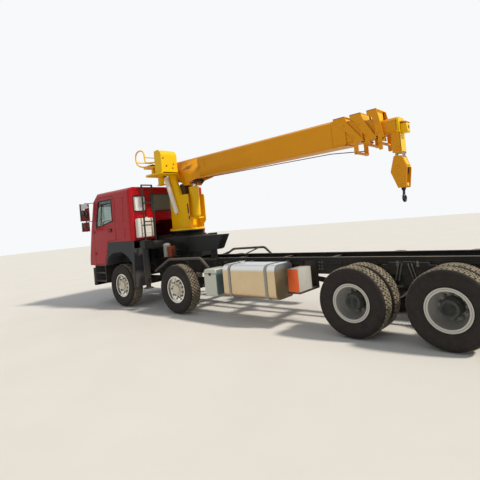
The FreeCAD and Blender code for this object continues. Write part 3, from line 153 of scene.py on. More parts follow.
def painted(name, colour, dust_cover, roughness, coat, rough_peel=0.05):
    """Sprayed enamel with a film of dust. The peel's grain is 3 mm, about twice the real one's, so
    that it shows; the dust lies in patches about 400 mm wide."""
    material = new_material(name, Coat_Weight=coat, Coat_Roughness=0.12, Specular_IOR_Level=0.26)
    place = node(material, "TexCoord").outputs["Object"]
    cloud = node(material, "TexNoise", Vector=place, Scale=2.5, Detail=8, Roughness=0.7)
    facing = node(material, "SeparateXYZ", Vector=node(material, "NewGeometry").outputs["Normal"])
    height = node(material, "SeparateXYZ", Vector=place)
    up = node(material, "MapRange", Value=facing.outputs["Z"], From_Min=0.25, From_Max=0.95, To_Max=dust_cover)
    low = node(material, "MapRange", Value=height.outputs["Z"], From_Min=1.3, From_Max=0.2,
               To_Max=dust_cover * 0.6)
    patch = node(material, "MapRange", Value=cloud, From_Min=0.36, From_Max=0.66, To_Min=0.25)
    film = node(material, "Math", {"operation": "ADD", "use_clamp": True}, _0=up, _1=low)
    mask = node(material, "Math", {"operation": "MULTIPLY"}, _0=film, _1=patch)
    fade = node(material, "HueSaturation", Value=0.86, Color=linear(colour))
    worn = node(material, "MixRGB", Fac=cloud, Color1=linear(colour), Color2=fade)
    surface = node(material, "MixRGB", Fac=mask, Color1=worn, Color2=linear(DUST))
    matt = node(material, "MapRange", Value=mask, To_Min=roughness, To_Max=0.9)
    peel = node(material, "TexNoise", Vector=place, Scale=330, Detail=2)
    bump = node(material, "Bump", Strength=rough_peel, Distance=0.002, Height=peel)
    shade(material, Base_Color=surface, Roughness=matt, Normal=bump)
    return material


def dress(material, *names):
    """Gives CAD nodes their material."""
    for name in names:
        nodes[name].data.materials.clear()
        nodes[name].data.materials.append(material)


def finished(form, name, body, slot, *materials, smooth=38, stands_for=None):
    """Turns a bmesh into a piece that rides on a body, smooth except at its hard edges, and that may
    stand for a CAD node."""
    mesh = bpy.data.meshes.new(name)
    form.to_mesh(mesh)
    form.free()
    for material in materials:
        mesh.materials.append(material)
    mesh.shade_smooth()
    mesh.set_sharp_from_angle(angle=math.radians(smooth))
    piece = bpy.data.objects.new(name, mesh)
    bpy.context.scene.collection.objects.link(piece)
    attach(piece, body)
    if stands_for:
        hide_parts(stands_for)
    return piece


def bolt_heads(form, places, way, across):
    """Hexagon heads on washers at these places, standing out along way; across is over the flats."""
    turn = Vector(way).to_track_quat("Z", "Y").to_matrix().to_4x4()
    for place in places:
        stand = Matrix.Translation(Vector(place)) @ turn
        washer = Matrix.Translation((0, 0, across * 0.06))
        head = Matrix.Translation((0, 0, across * 0.45))
        bmesh.ops.create_cone(form, cap_ends=True, segments=12, radius1=across * 0.95, radius2=across * 0.95,
                              depth=across * 0.14, matrix=stand @ washer)
        bmesh.ops.create_cone(form, cap_ends=True, segments=6, radius1=across * 0.577, radius2=across * 0.56,
                              depth=across * 0.62, matrix=stand @ head)


chassis_black = painted("satin_black_chassis_enamel", "#121315", 0.5, 0.5, 0.05)
zinc_bolt = new_material("dull_zinc_plated_bolts", Base_Color=linear("#6E6C66"), Metallic=0.85, Roughness=0.5)
dress(chassis_black, "chassis_frame", "tail_bar")
frame_bolts = bmesh.new()
for ahead in MEMBERS_AHEAD:
    x = AXLE_1 + ahead + MEMBER_MIDDLE
    for side in (1, -1):
        spots = [(x + dx, side * RAIL_OUT, z) for dx in BOLT_COLUMNS for z in BOLT_ROWS]
        bolt_heads(frame_bolts, spots, (0, side, 0), FRAME_BOLT)
finished(frame_bolts, "frame_bolts", "chassis", "steel", zinc_bolt)

# Air pipes: three 12 mm nylon tubes along the left rail, sagging a little between the flat clips
# that hold them. Nylon is extruded smooth, and dust makes it a dull dark grey.
PIPE_RADIUS, PIPE_SPACING = 0.006, 0.018
PIPE_BENDS = [(0.9, 1.06), (0.3, 1.075), (-0.4, 1.05), (-1.3, 1.065), (-2.0, 1.04), (-2.7, 1.07), (-3.4, 1.1),
              (-4.6, 1.09)]
CLIPS, CLIP_HALF, CLIP_Z = (0.6, 0.0, -0.8, -1.5, -2.3, -3.0, -3.9), 0.012, (1.01, 1.1)


def add_part(form, part, paint):
    """Adds a finished bmesh to a piece, with its faces in this material slot."""
    for face in part.faces:
        face.material_index = paint
    mesh = bpy.data.meshes.new("part")
    part.to_mesh(mesh)
    part.free()
    form.from_mesh(mesh)
    bpy.data.meshes.remove(mesh)


def bent_tube(form, points, radius, paint=0):
    """A tube bent smoothly along these points, as a bevelled curve that is made a mesh."""
    curve = bpy.data.curves.new("tube", "CURVE")
    curve.dimensions = "3D"
    curve.bevel_depth = radius
    curve.bevel_resolution = 2
    curve.resolution_u = 6
    curve.use_fill_caps = True
    run = curve.splines.new("NURBS")
    run.points.add(len(points) - 1)
    for spot, point in zip(run.points, points):
        spot.co = (*point, 1)
    run.order_u = 3
    run.use_endpoint_u = True
    holder = bpy.data.objects.new("tube", curve)
    mesh = bpy.data.meshes.new_from_object(holder)
    part = bmesh.new()
    part.from_mesh(mesh)
    bmesh.ops.recalc_face_normals(part, faces=part.faces)
    add_part(form, part, paint)
    bpy.data.objects.remove(holder)
    bpy.data.curves.remove(curve)
    bpy.data.meshes.remove(mesh)


def cut_plate(form, outline, axis, near, far, edge=0.002, paint=0):
    """A plate with this outline between two planes across an axis; a corner's third number rounds it,
    and edge is the chamfer all round."""
    part = bmesh.new()
    corners = [part.verts.new({"X": (near, a, b), "Y": (a, near, b), "Z": (a, b, near)}[axis])
               for a, b in (corner[:2] for corner in outline)]
    part.faces.new(corners)
    for vert, corner in zip(corners, outline):
        if len(corner) > 2:
            bmesh.ops.bevel(part, geom=[vert], offset=corner[2], segments=4, affect="VERTICES", profile=0.5,
                            material=-1)
    through = Vector([far - near if name == axis else 0 for name in "XYZ"])
    raised = bmesh.ops.extrude_face_region(part, geom=list(part.faces))["geom"]
    bmesh.ops.translate(part, vec=through, verts=[v for v in raised if isinstance(v, bmesh.types.BMVert)])
    bmesh.ops.recalc_face_normals(part, faces=part.faces)
    if edge:
        sharp = [e for e in part.edges if len(e.link_faces) == 2 and e.calc_face_angle() > 0.6]
        bmesh.ops.bevel(part, geom=sharp, offset=edge, segments=1, affect="EDGES", profile=0.5, material=-1)
    add_part(form, part, paint)


def slab(form, x, y, z, edge=0.002, paint=0):
    """A plain plate between two limits along each axis."""
    cut_plate(form, [(x[0], z[0]), (x[0], z[1]), (x[1], z[1]), (x[1], z[0])], "Y", *y, edge, paint)


def plate_pair(form, outline, inner, outer, edge=0.002, paint=0):
    """The same plate on the left and on the right, between two distances from the middle plane."""
    for side in (1, -1):
        cut_plate(form, outline, "Y", side * inner, side * outer, edge, paint)


nylon = painted("black_nylon_air_pipe", "#1B1B1C", 0.5, 0.5, 0.0)
pipes = bmesh.new()
for row in range(3):
    bent_tube(pipes, [(x, RAIL_OUT + 0.009, z - row * PIPE_SPACING) for x, z in PIPE_BENDS], PIPE_RADIUS)
for x in CLIPS:
    slab(pipes, (x - CLIP_HALF, x + CLIP_HALF), (RAIL_OUT, RAIL_OUT + 0.017), CLIP_Z, 0.003)
finished(pipes, "air_pipes_on_rail", "chassis", "steel", nylon)

# Bogie clamps: four long 22 mm bolts lean along each side of the balance beam's hanger, and four
# short ones fix the hanger to the rail. Plated steel that has gone dull.
HANGER_FACE, CLAMP_RADIUS, HANGER_BOLT = 0.528, 0.011, 0.024
CLAMPS = ((-3.32, -3.25), (-3.37, -3.30), (-3.46, -3.53), (-3.51, -3.58))
CLAMP_TOP, CLAMP_WAIST, CLAMP_FOOT = 1.07, 0.93, 0.8
bogie_bolts = bmesh.new()
for side in (1, -1):
    y = side * (HANGER_FACE + CLAMP_RADIUS)
    for top, foot in CLAMPS:
        bent_tube(bogie_bolts, [(top, y, CLAMP_TOP), ((top + foot) / 2, y, CLAMP_WAIST), (foot, y, CLAMP_FOOT)],
                  CLAMP_RADIUS)
    bolt_heads(bogie_bolts, [(x, side * HANGER_FACE, z) for x in (-3.6, -3.3) for z in (1.04, 1.085)],
               (0, side, 0), HANGER_BOLT)
finished(bogie_bolts, "bogie_clamp_bolts", "chassis", "steel", zinc_bolt)

# Dropped front beams, banjo rear axles, leaf packs and knuckles: forged steel and iron castings,
# dipped in black and coated with dry road dirt, so they look rough and brown-grey, never shiny.
# The dirt lies in patches of 140 mm and the cast grain is drawn at 6 mm, coarser than it is.
cast_iron = new_material("dusty_black_iron_castings", Roughness=0.85, Metallic=0.1)
place = node(cast_iron, "TexCoord").outputs["Object"]
dirt = node(cast_iron, "TexNoise", Vector=place, Scale=7, Detail=10, Roughness=0.75)
share = node(cast_iron, "MapRange", Value=dirt, From_Min=0.4, From_Max=0.7, To_Min=0.1, To_Max=0.6)
tone = node(cast_iron, "MixRGB", Fac=share, Color1=linear("#191918"), Color2=linear("#4A4238"))
grain = node(cast_iron, "TexNoise", Vector=place, Scale=160, Detail=3)
bump = node(cast_iron, "Bump", Strength=0.35, Distance=0.004, Height=grain)
shade(cast_iron, Base_Color=tone, Normal=bump)
dress(cast_iron, "front_axles", "rear_axles", "springs", "driveline", "knuckle_front_left",
      "knuckle_front_right", "knuckle_second_left", "knuckle_second_right")

# Tyres: bias truck tyres with a block tread, moulded black rubber. The tread is dusted brown and
# rough, the sidewall darker with three moulded rings, and each block has chamfered edges.
# The rear wheels carry two each, and tyre and rim turn together.
TYRE_R, TREAD_DEEP, PITCHES, CARCASS_STEPS = 0.55, 0.016, 50, 90
WHEEL_Y, DUAL_SPACING = 1.045, 0.35
# Radius and distance from the tyre's middle of the sidewall's steps and rings, from bead to shoulder
SIDE_RINGS = [(0.2865, 0.115), (0.302, 0.115), (0.322, 0.133), (0.334, 0.1375), (0.338, 0.1415), (0.346, 0.1415),
              (0.352, 0.1395), (0.40, 0.151), (0.43, 0.1545), (0.455, 0.155), (0.478, 0.1535), (0.481, 0.1505),
              (0.487, 0.1500), (0.490, 0.1525), (0.506, 0.1485), (0.526, 0.139), (0.534, 0.118)]
# Near edge, far edge, turn in pitches and drop of the outer shoulder of each row of blocks
BLOCK_ROWS = [(-0.021, 0.021, 0.0, 0), (0.029, 0.069, 0.5, 0), (-0.069, -0.029, 0.5, 0),
              (0.077, 0.141, 0.15, 0.029), (-0.141, -0.077, 0.15, 0.029)]
BLOCK_LONG, BLOCK_SLANT, BLOCK_ROOT, BLOCK_EDGE = 0.049, 0.22, 0.004, 0.003
AXLES = [("_front_", AXLE_1, False), ("_second_", AXLE_2, False), ("s_third_", AXLE_3, True),
         ("s_fourth_", AXLE_4, True)]
WHEELS = [(line + side, x, sign, twin) for line, x, twin in AXLES for side, sign in (("left", 1), ("right", -1))]


def rubber(name, low, high, rough):
    """Moulded rubber: matt, clouded by dried mud in patches of 110 mm. Its grit is drawn at 5 mm,
    coarser than the real one, so that it shows."""
    material = new_material(name, Roughness=rough, Specular_IOR_Level=0.35)
    place = node(material, "TexCoord").outputs["Object"]
    mud = node(material, "TexNoise", Vector=place, Scale=9, Detail=8, Roughness=0.72)
    share = node(material, "MapRange", Value=mud, From_Min=0.36, From_Max=0.66)
    tone = node(material, "MixRGB", Fac=share, Color1=linear(low), Color2=linear(high))
    grit = node(material, "TexNoise", Vector=place, Scale=200, Detail=2)
    shade(material, Base_Color=tone, Normal=node(material, "Bump", Strength=0.25, Distance=0.003, Height=grit))
    return material


def build_tyre(form, x, y):
    """One tyre round (x, y): a spun carcass, and one pitch of blocks that is spun round it."""
    hub = Vector((x, y, TYRE_R))
    outline = SIDE_RINGS + [(radius, -offset) for radius, offset in reversed(SIDE_RINGS)]
    verts = [form.verts.new(hub + Vector((0, offset, radius))) for radius, offset in outline]
    edges = [form.edges.new((verts[i - 1], verts[i])) for i in range(len(verts))]
    bmesh.ops.spin(form, geom=verts + edges, cent=hub, axis=(0, 1, 0), angle=2 * math.pi, steps=CARCASS_STEPS,
                   use_merge=True)
    pitch = 2 * math.pi / PITCHES
    blocks = []
    for near, far, turn, drop in BLOCK_ROWS:
        made = bmesh.ops.create_cube(form, size=1)["verts"]
        bmesh.ops.scale(form, vec=(BLOCK_LONG, far - near, TREAD_DEEP + BLOCK_ROOT), verts=made)
        outer = 1 if near + far > 0 else -1
        for vert in made:
            vert.co.x += vert.co.y * BLOCK_SLANT * outer
            if vert.co.y * outer > 0:
                vert.co.z -= drop
        bmesh.ops.translate(form, vec=(0, (near + far) / 2, TYRE_R - (TREAD_DEEP + BLOCK_ROOT) / 2), verts=made)
        bmesh.ops.rotate(form, cent=(0, 0, 0), matrix=Matrix.Rotation(turn * pitch, 3, "Y"), verts=made)
        bmesh.ops.translate(form, vec=hub, verts=made)
        edges = list({edge for vert in made for edge in vert.link_edges})
        blocks += bmesh.ops.bevel(form, geom=edges, offset=BLOCK_EDGE, segments=1, affect="EDGES", profile=0.5,
                                  material=-1)["faces"]
    faces = {near for face in blocks for vert in face.verts for near in vert.link_faces}
    for face in faces:
        face.material_index = 1
    pattern = list(faces) + list({v for f in faces for v in f.verts}) + list({e for f in faces for e in f.edges})
    bmesh.ops.spin(form, geom=pattern, cent=hub, axis=(0, 1, 0), angle=pitch * (PITCHES - 1), steps=PITCHES - 1,
                   use_duplicate=True)


sidewall_rubber = rubber("sidewall_rubber", "#1A1715", "#2C2520", 0.75)
tread_rubber = rubber("dusty_tread_rubber", "#625B4E", "#A2967F", 0.92)
for ending, x, sign, twin in WHEELS:
    form = bmesh.new()
    build_tyre(form, x, sign * WHEEL_Y)
    if twin:
        build_tyre(form, x, sign * (WHEEL_Y - DUAL_SPACING))
    bmesh.ops.recalc_face_normals(form, faces=form.faces)
    finished(form, "treaded_tyre" + ending, "wheel" + ending, "tyre", sidewall_rubber, tread_rubber,
             stands_for="tyre" + ending)

# Wheels: the steered ones are polished forged aluminium with ten hand holes and a cream cover on the
# hub, the rear ones pressed steel with a pale painted flange, a dusty silver dish and a dark cast
# hub. Ten nuts hold each. Road film dulls the polish in patches of 40 mm.
RING_RADIUS, HUB_RADIUS, RING_FACE = 0.262, 0.145, WHEEL_Y + 0.1
NUTS, NUT_CIRCLE, NUT_FLATS, NUT_SEAT, TWIN_NUT_SEAT = 10, 0.1675, 0.033, 1.108, 0.885
# Radius and distance outwards of the turned parts
HUB_CAP = [(0, 0.078), (0.105, 0.078), (0.122, 0.06), (0.126, 0.03), (0.126, -0.1), (0.0, -0.1)]
HUB_COVER = [(0, 0.0), (0.172, 0.0), (0.176, 0.006), (0.168, 0.014), (0.116, 0.016), (0.104, 0.07), (0.0, 0.0725)]
RIM_LIP = [(0.25, 0), (0.25, 0.004), (0.258, 0.008), (0.278, 0.008), (0.284, 0.004), (0.284, 0), (0.25, 0)]
LIP_PROUD, COVER_SEAT = 0.008, 1.107


def solids_of(name, keep=lambda middle: True):
    """A merged copy of a CAD node's mesh, or of those solids in it whose middle passes the test."""
    form = bmesh.new()
    form.from_mesh(nodes[name].data)
    bmesh.ops.remove_doubles(form, verts=form.verts, dist=0.00002)
    waiting = set(form.faces)
    dropped = []
    while waiting:
        solid = [waiting.pop()]
        for face in solid:
            for near in (f for edge in face.edges for f in edge.link_faces if f in waiting):
                waiting.discard(near)
                solid.append(near)
        corners = [vert.co for face in solid for vert in face.verts]
        middle = Vector([(min(c[i] for c in corners) + max(c[i] for c in corners)) / 2 for i in range(3)])
        if not keep(middle):
            dropped += solid
    bmesh.ops.delete(form, geom=dropped, context="FACES")
    return form


def round_part(form, profile, centre, way, paint=0, steps=28):
    """Turns a profile of radius and distance along way into a closed form round centre."""
    part = bmesh.new()
    verts = [part.verts.new((radius, 0, along)) for radius, along in profile]
    edges = [part.edges.new(pair) for pair in zip(verts, verts[1:])]
    bmesh.ops.spin(part, geom=verts + edges, cent=(0, 0, 0), axis=(0, 0, 1), angle=2 * math.pi, steps=steps,
                   use_merge=True)
    bmesh.ops.remove_doubles(part, verts=part.verts, dist=0.00001)
    bmesh.ops.recalc_face_normals(part, faces=part.faces)
    turn = Vector(way).to_track_quat("Z", "Y").to_matrix().to_4x4()
    bmesh.ops.transform(part, matrix=Matrix.Translation(centre) @ turn, verts=part.verts)
    add_part(form, part, paint)


polished = new_material("polished_forged_aluminium", Metallic=1.0)
place = node(polished, "TexCoord").outputs["Object"]
haze = node(polished, "TexNoise", Vector=place, Scale=24, Detail=5)
dull = node(polished, "MapRange", Value=haze, From_Min=0.4, From_Max=0.7, To_Min=0.12, To_Max=0.34)
tone = node(polished, "MixRGB", Fac=haze, Color1=linear("#E3E2DF"), Color2=linear("#C9C5BC"))
shade(polished, Base_Color=tone, Roughness=dull)
flange_paint = painted("pale_grey_rim_enamel", "#DAD6CB", 0.06, 0.45, 0.0)
dish_paint = painted("dusty_silver_wheel_enamel", "#C2C2BD", 0.3, 0.45, 0.0)
hub_paint = painted("dark_green_grey_hub_casting", "#4A514F", 0.25, 0.6, 0.0, 0.4)
cover_paint = painted("cream_hub_cover_enamel", "#E6DEC8", 0.15, 0.5, 0.0)
for ending, x, sign, twin in WHEELS:
    body, outwards, wheel_name = "wheel" + ending, (0, sign, 0), ending.lstrip("s")
    axis = Vector((x, 0, TYRE_R))
    if twin:
        rim = solids_of("rim" + ending)
        for face in rim.faces:
            out = face.calc_center_median() - axis
            radius = math.hypot(out.x, out.z)
            if radius < HUB_RADIUS:
                face.material_index = 2
            elif radius > RING_RADIUS and abs(out.y) > RING_FACE:
                face.material_index = 1
        round_part(rim, HUB_CAP, (x, sign * WHEEL_Y, TYRE_R), outwards, 2)
        rim_face = max(abs(vert.co.y) for vert in rim.verts)
        round_part(rim, RIM_LIP, (x, sign * (rim_face - LIP_PROUD), TYRE_R), outwards, 1, 48)
        finished(rim, "pressed_rim" + ending, body, "wheel_steel", dish_paint, flange_paint, hub_paint, smooth=30,
                 stands_for="rim" + ending)
    else:
        dress(polished, "rim" + ending)
        cover = bmesh.new()
        round_part(cover, HUB_COVER, (x, sign * COVER_SEAT, TYRE_R), outwards)
        finished(cover, "hub_cover" + wheel_name, body, "wheel_steel", cover_paint)
    nuts = bmesh.new()
    seat = TWIN_NUT_SEAT if twin else NUT_SEAT
    spots = [axis + Vector((NUT_CIRCLE * math.cos(a), sign * seat, NUT_CIRCLE * math.sin(a)))
             for a in (2 * math.pi * (i + 0.5) / NUTS for i in range(NUTS))]
    bolt_heads(nuts, spots, outwards, NUT_FLATS)
    finished(nuts, "wheel_nuts" + wheel_name, body, "steel", zinc_bolt)

# The cab: welded steel panels in glossy two-coat red enamel, which road film dulls low down. Behind
# each door two pressed beads frame an upper and a lower panel, and three ribs cross the rear wall.
CAB_REAR, CAB_SIDE, RIB_HALF = 2.845, 1.25, 0.6
UPPER_PRESSING = [(3.529, 2.846), (3.147, 2.827), (3.228, 2.176), (3.60, 2.202)]
LOWER_PRESSING = [(3.60, 2.029), (3.166, 2.036), (3.212, 1.744), (3.60, 1.738)]
cab_red = painted("glossy_red_cab_enamel", "#B00A16", 0.08, 0.3, 0.0, 0.03)
dress(cab_red, "cab_shell", "door_left", "door_right")
beads = bmesh.new()
for side in (1, -1):
    for loop in (UPPER_PRESSING, LOWER_PRESSING):
        for (x0, z0), (x1, z1) in zip(loop, loop[1:] + loop[:1]):
            bent_tube(beads, [(x0, side * 1.243, z0), ((x0 + x1) / 2, side * 1.2435, (z0 + z1) / 2),
                              (x1, side * 1.243, z1)], 0.014)
for z in (2.24, 2.30, 2.36):
    bent_tube(beads, [(CAB_REAR + 0.004, -RIB_HALF, z), (CAB_REAR + 0.002, 0, z), (CAB_REAR + 0.004, RIB_HALF, z)],
              0.012)
finished(beads, "pressed_cab_beads", "chassis", "cab_red", cab_red, smooth=60)

# Windows: tempered safety glass, tinted green. The rear panes are darker, and the left one has a
# white blind behind it. The limits on X and Y below part the rear panes and the left one.
REAR_PANES_X, LEFT_PANE_Y = 2.9, 0.7
glass = new_material("green_tinted_safety_glass", IOR=1.5)
where = node(glass, "SeparateXYZ", Vector=node(glass, "TexCoord").outputs["Object"])
rear = node(glass, "Math", {"operation": "LESS_THAN"}, _0=where.outputs["X"], _1=REAR_PANES_X)
leftmost = node(glass, "Math", {"operation": "GREATER_THAN"}, _0=where.outputs["Y"], _1=LEFT_PANE_Y)
blind = node(glass, "Math", {"operation": "MULTIPLY"}, _0=rear, _1=leftmost)
open_view = node(glass, "Math", {"operation": "SUBTRACT"}, _0=1.0, _1=blind)
tint = node(glass, "MapRange", Value=rear, To_Min=0.95, To_Max=0.25)
clear = node(glass, "Math", {"operation": "MULTIPLY"}, _0=tint, _1=open_view)
pane = node(glass, "MixRGB", Fac=rear, Color1=linear("#B4C2BB"), Color2=linear("#7D8278"))
tone = node(glass, "MixRGB", Fac=blind, Color1=pane, Color2=linear("#E6E6E4"))
soft = node(glass, "MapRange", Value=blind, To_Min=0.03, To_Max=0.6)
shade(glass, Transmission_Weight=clear, Base_Color=tone, Roughness=soft)
dress(glass, "cab_glass", "door_glass_left", "door_glass_right")

# Gaskets: a bead of black rubber, extruded and matt, holds each pane of the rear wall. Each loop
# starts low in the middle and turns its corners on three points 50 mm apart.
REAR_PANES = ((-0.63, 0.63, 2.42, 2.86), (0.79, 1.15, 2.43, 2.81), (-1.15, -0.79, 2.43, 2.81))
GASKET_CORNER, GASKET_RADIUS = 0.05, 0.013
seal_rubber = new_material("black_window_rubber", Base_Color=linear("#171717"), Roughness=0.7)
seals = bmesh.new()
for y0, y1, z0, z1 in REAR_PANES:
    middle, c = (y0 + y1) / 2, GASKET_CORNER
    loop = [(middle, z0), (y1 - c, z0), (y1, z0), (y1, z0 + c), (y1, z1 - c), (y1, z1), (y1 - c, z1),
            (y0 + c, z1), (y0, z1), (y0, z1 - c), (y0, z0 + c), (y0, z0), (y0 + c, z0), (middle, z0)]
    bent_tube(seals, [(CAB_REAR - 0.002, y, z) for y, z in loop], GASKET_RADIUS)
finished(seals, "rear_window_gaskets", "chassis", "plastic_black", seal_rubber)

# Door trim: a 50 mm black band round each door's window, the quarter light's post and the glass's
# top rail, and a handle in moulded plastic. It is clipped to the door and swings with it.
DOOR_GLASS = [(4.605, 2.10), (4.415, 2.835), (3.705, 2.835), (3.705, 2.23)]
GLASS_CENTRE, BAND_WIDE = Vector((4.08, 2.5)), 0.05
POST_AND_RAIL = [(4.33, 2.19), (4.225, 2.68), (4.215, 2.728), (4.16, 2.73), (3.72, 2.73)]
HANDLE = [(3.789, 1.965, 0.02), (3.969, 1.965, 0.02), (3.969, 2.057, 0.02), (3.789, 2.057, 0.02)]
for name, side in (("left", 1), ("right", -1)):
    door_face = side * (CAB_SIDE - 0.002)
    trim = bmesh.new()
    for first, second in zip(DOOR_GLASS, DOOR_GLASS[1:] + DOOR_GLASS[:1]):
        inner = [Vector(spot) + (GLASS_CENTRE - Vector(spot)).normalized() * BAND_WIDE for spot in (second, first)]
        cut_plate(trim, [first, second, *inner], "Y", side * (CAB_SIDE - 0.012), side * (CAB_SIDE + 0.006), 0)
    bent_tube(trim, [(x, door_face, z) for x, z in POST_AND_RAIL], 0.012)
    cut_plate(trim, HANDLE, "Y", door_face, side * (CAB_SIDE + 0.02), 0.006)
    finished(trim, "door_window_frame_" + name, "door_" + name, "plastic_black", seal_rubber)

# Arches: dark grey polypropylene, moulded with a fine grain, which goes chalky with dust on top. The
# opening is rounded at 840 mm over the wheel, and a black rubber liner closes each arch inside.
ARCH_X, ARCH_Z, ARCH_RADIUS, ARCH_STEPS = 3.6, 0.6, 0.84, 8
ARCH_INNER, ARCH_OUTER = 0.82, 1.2465
# First and last angle of each corner's arc, and the square corner's other points
ARCH_CORNERS = ((46, 85, [(3.673, 1.50), (4.08, 1.50)]), (95, 148, [(2.88, 1.20), (2.88, 1.50), (3.527, 1.50)]))
LINER_WALL = [(2.87, 1.105), (2.87, 1.69), (4.35, 1.69), (4.35, 1.105)]
arch_grey = painted("grained_grey_polypropylene", "#414346", 0.4, 0.72, 0.0, 0.35)
dress(arch_grey, "wheel_arches")
arch_corners = bmesh.new()
for start, stop, rest in ARCH_CORNERS:
    turns = [math.radians(start + (stop - start) * i / ARCH_STEPS) for i in range(ARCH_STEPS + 1)]
    arc = [(ARCH_X + ARCH_RADIUS * math.cos(a), ARCH_Z + ARCH_RADIUS * math.sin(a)) for a in turns]
    plate_pair(arch_corners, arc + rest, ARCH_INNER, ARCH_OUTER, 0)
finished(arch_corners, "rounded_arch_corners", "chassis", "trim_grey", arch_grey)
liner = bmesh.new()
plate_pair(liner, LINER_WALL, 0.80, 0.81, 0)
for side in (1, -1):
    slab(liner, (2.87, 4.30), (side * 0.80, side * 1.23), (1.66, 1.67), 0)
finished(liner, "inner_arch_liners", "chassis", "plastic_black", seal_rubber)

# Bumper, grille and mirror shells: a harder black plastic, moulded with a slight grain. The mirrors'
# glass is silvered, flat and bright, and each pane faces the rear.
MIRROR_FACING, MIRROR_AREA = -0.9, 0.02
trim_black = painted("moulded_black_plastic", "#202122", 0.35, 0.55, 0.0, 0.2)
dress(trim_black, "front_bumper", "grille")
mirror_glass = new_material("silvered_mirror_glass", Base_Color=linear("#B0A6A4"), Metallic=1.0, Roughness=0.04)
mirrors = solids_of("mirrors")
for face in mirrors.faces:
    face.material_index = int(face.normal.x < MIRROR_FACING and face.calc_area() > MIRROR_AREA)
finished(mirrors, "glazed_mirrors", "chassis", "plastic_black", trim_black, mirror_glass, stands_for="mirrors")

# Steps: black painted sheet steel boxes under the doors, and a ladder of flat bar behind the cab
# with two rungs and a top bar, held to the roof's edge by two straps.
LADDER_SIDES, LADDER_X, RUNGS = (0.735, 1.035), (2.594, 2.626), (2.145, 2.612, 3.056)
STRINGER_Z, STRAP_X, STRAP_Z = (1.64, 3.07), (2.61, 2.846), (2.95, 2.97)


def on_ladder(middle):
    """True for the close-runged ladder of the CAD node, which this one stands for."""
    return middle.z > 1.65 and middle.x < 2.7 and 0.7 < middle.y < 1.07


step_paint = painted("black_painted_step_steel", "#1E1F20", 0.4, 0.5, 0.1)
finished(solids_of("access_steps", lambda m: not on_ladder(m)), "cab_step_boxes", "chassis", "plastic_black",
         step_paint, stands_for="access_steps")
ladder = bmesh.new()
for y in LADDER_SIDES:
    slab(ladder, LADDER_X, (y - 0.017, y + 0.017), STRINGER_Z)
    slab(ladder, STRAP_X, (y - 0.006, y + 0.006), STRAP_Z, 0)
for z in RUNGS:
    slab(ladder, (2.598, 2.622), (0.74, 1.03), (z - 0.015, z + 0.015))
finished(ladder, "two_rung_ladder", "chassis", "plastic_black", seal_rubber, stands_for="access_steps")

# Side hoops and tank straps: dark painted steel tube over the second wheel and along the tank, and
# two pale zinc-plated bands round the tank, with black rubber under their edges.
zinc_strap = painted("pale_zinc_plated_strap", "#A9A69C", 0.2, 0.45, 0.0, 0.1)
hoop_grey = painted("dark_grey_hoop_tube", "#4C4A47", 0.5, 0.5, 0.0, 0.2)


def on_tank(middle):
    """True for the two strap bands round the fuel tank."""
    return -1.24 < middle.x < -0.24 and middle.y > 0


strap_form = solids_of("fender_stays", on_tank)
for face in strap_form.faces:
    face.material_index = int(abs(face.normal.x) > 0.9)
finished(strap_form, "tank_straps", "chassis", "steel", zinc_strap, seal_rubber, stands_for="fender_stays")
finished(solids_of("fender_stays", lambda m: not on_tank(m)), "tube_hoops", "chassis", "steel", hoop_grey,
         stands_for="fender_stays")

# Lamps: clear polycarbonate lenses over chromed bowls in front, red acrylic behind, both moulded
# with fine upright flutes 15 mm apart, and glossy.
lens = new_material("lamp_lenses_clear_and_red", Roughness=0.08, Coat_Weight=1.0)
where = node(lens, "SeparateXYZ", Vector=node(lens, "TexCoord").outputs["Object"])
front_lamp = node(lens, "Math", {"operation": "GREATER_THAN"}, _0=where.outputs["X"], _1=0.0)
flutes = node(lens, "Math", {"operation": "SINE"},
              _0=node(lens, "Math", {"operation": "MULTIPLY"}, _0=where.outputs["Y"], _1=420))
tone = node(lens, "MixRGB", Fac=front_lamp, Color1=linear("#8E0F12"), Color2=linear("#D9DCDD"))
shade(lens, Base_Color=tone, Normal=node(lens, "Bump", Strength=0.4, Distance=0.002, Height=flutes))
dress(lens, "lamps")

# Fuel tank: polished aluminium sheet with a rolled seam at each end, mirror-like but wavy. Its side
# is painted warm tan, a painted reflection of the ground, and above the bend it is painted pale grey,
# a painted reflection of the sky. A black screw cap.
# Heights over which the painted reflection of the ground fades into the painted reflection of the sky
PAINTED_REFLECTION_BEND_Z = (0.99, 1.05)
tank_metal = new_material("polished_aluminium_sheet", Metallic=1.0)
place = node(tank_metal, "TexCoord").outputs["Object"]
waves = node(tank_metal, "TexNoise", Vector=place, Scale=4.5, Detail=2)
haze = node(tank_metal, "TexNoise", Vector=place, Scale=2.2, Detail=3, Roughness=0.5)
dull = node(tank_metal, "MapRange", Value=haze, From_Min=0.35, From_Max=0.7, To_Min=0.28, To_Max=0.42)
# The warm tan, clouded by the haze, is a painted reflection of the ground; the pale grey mixed in above the bend is
# a painted reflection of the sky.
painted_ground_reflection = node(tank_metal, "MixRGB", Fac=haze, Color1=linear("#DCCBAA"), Color2=linear("#C2A983"))
height = node(tank_metal, "SeparateXYZ", Vector=place).outputs["Z"]
upper = node(tank_metal, "MapRange", Value=height, From_Min=PAINTED_REFLECTION_BEND_Z[0], From_Max=PAINTED_REFLECTION_BEND_Z[1])
tone = node(tank_metal, "MixRGB", Fac=upper, Color1=painted_ground_reflection, Color2=linear("#D5D8DA"))
bump = node(tank_metal, "Bump", Strength=0.1, Distance=0.02, Height=waves)
shade(tank_metal, Base_Color=tone, Roughness=dull, Normal=bump)
dress(tank_metal, "fuel_tank")
cap = bmesh.new()
round_part(cap, [(0, 0), (0.058, 0), (0.058, 0.03), (0.05, 0.04), (0, 0.04)], (-0.395, 0.9, 1.122), (0, 0, 1))
finished(cap, "fuel_cap", "chassis", "plastic_black", trim_black)
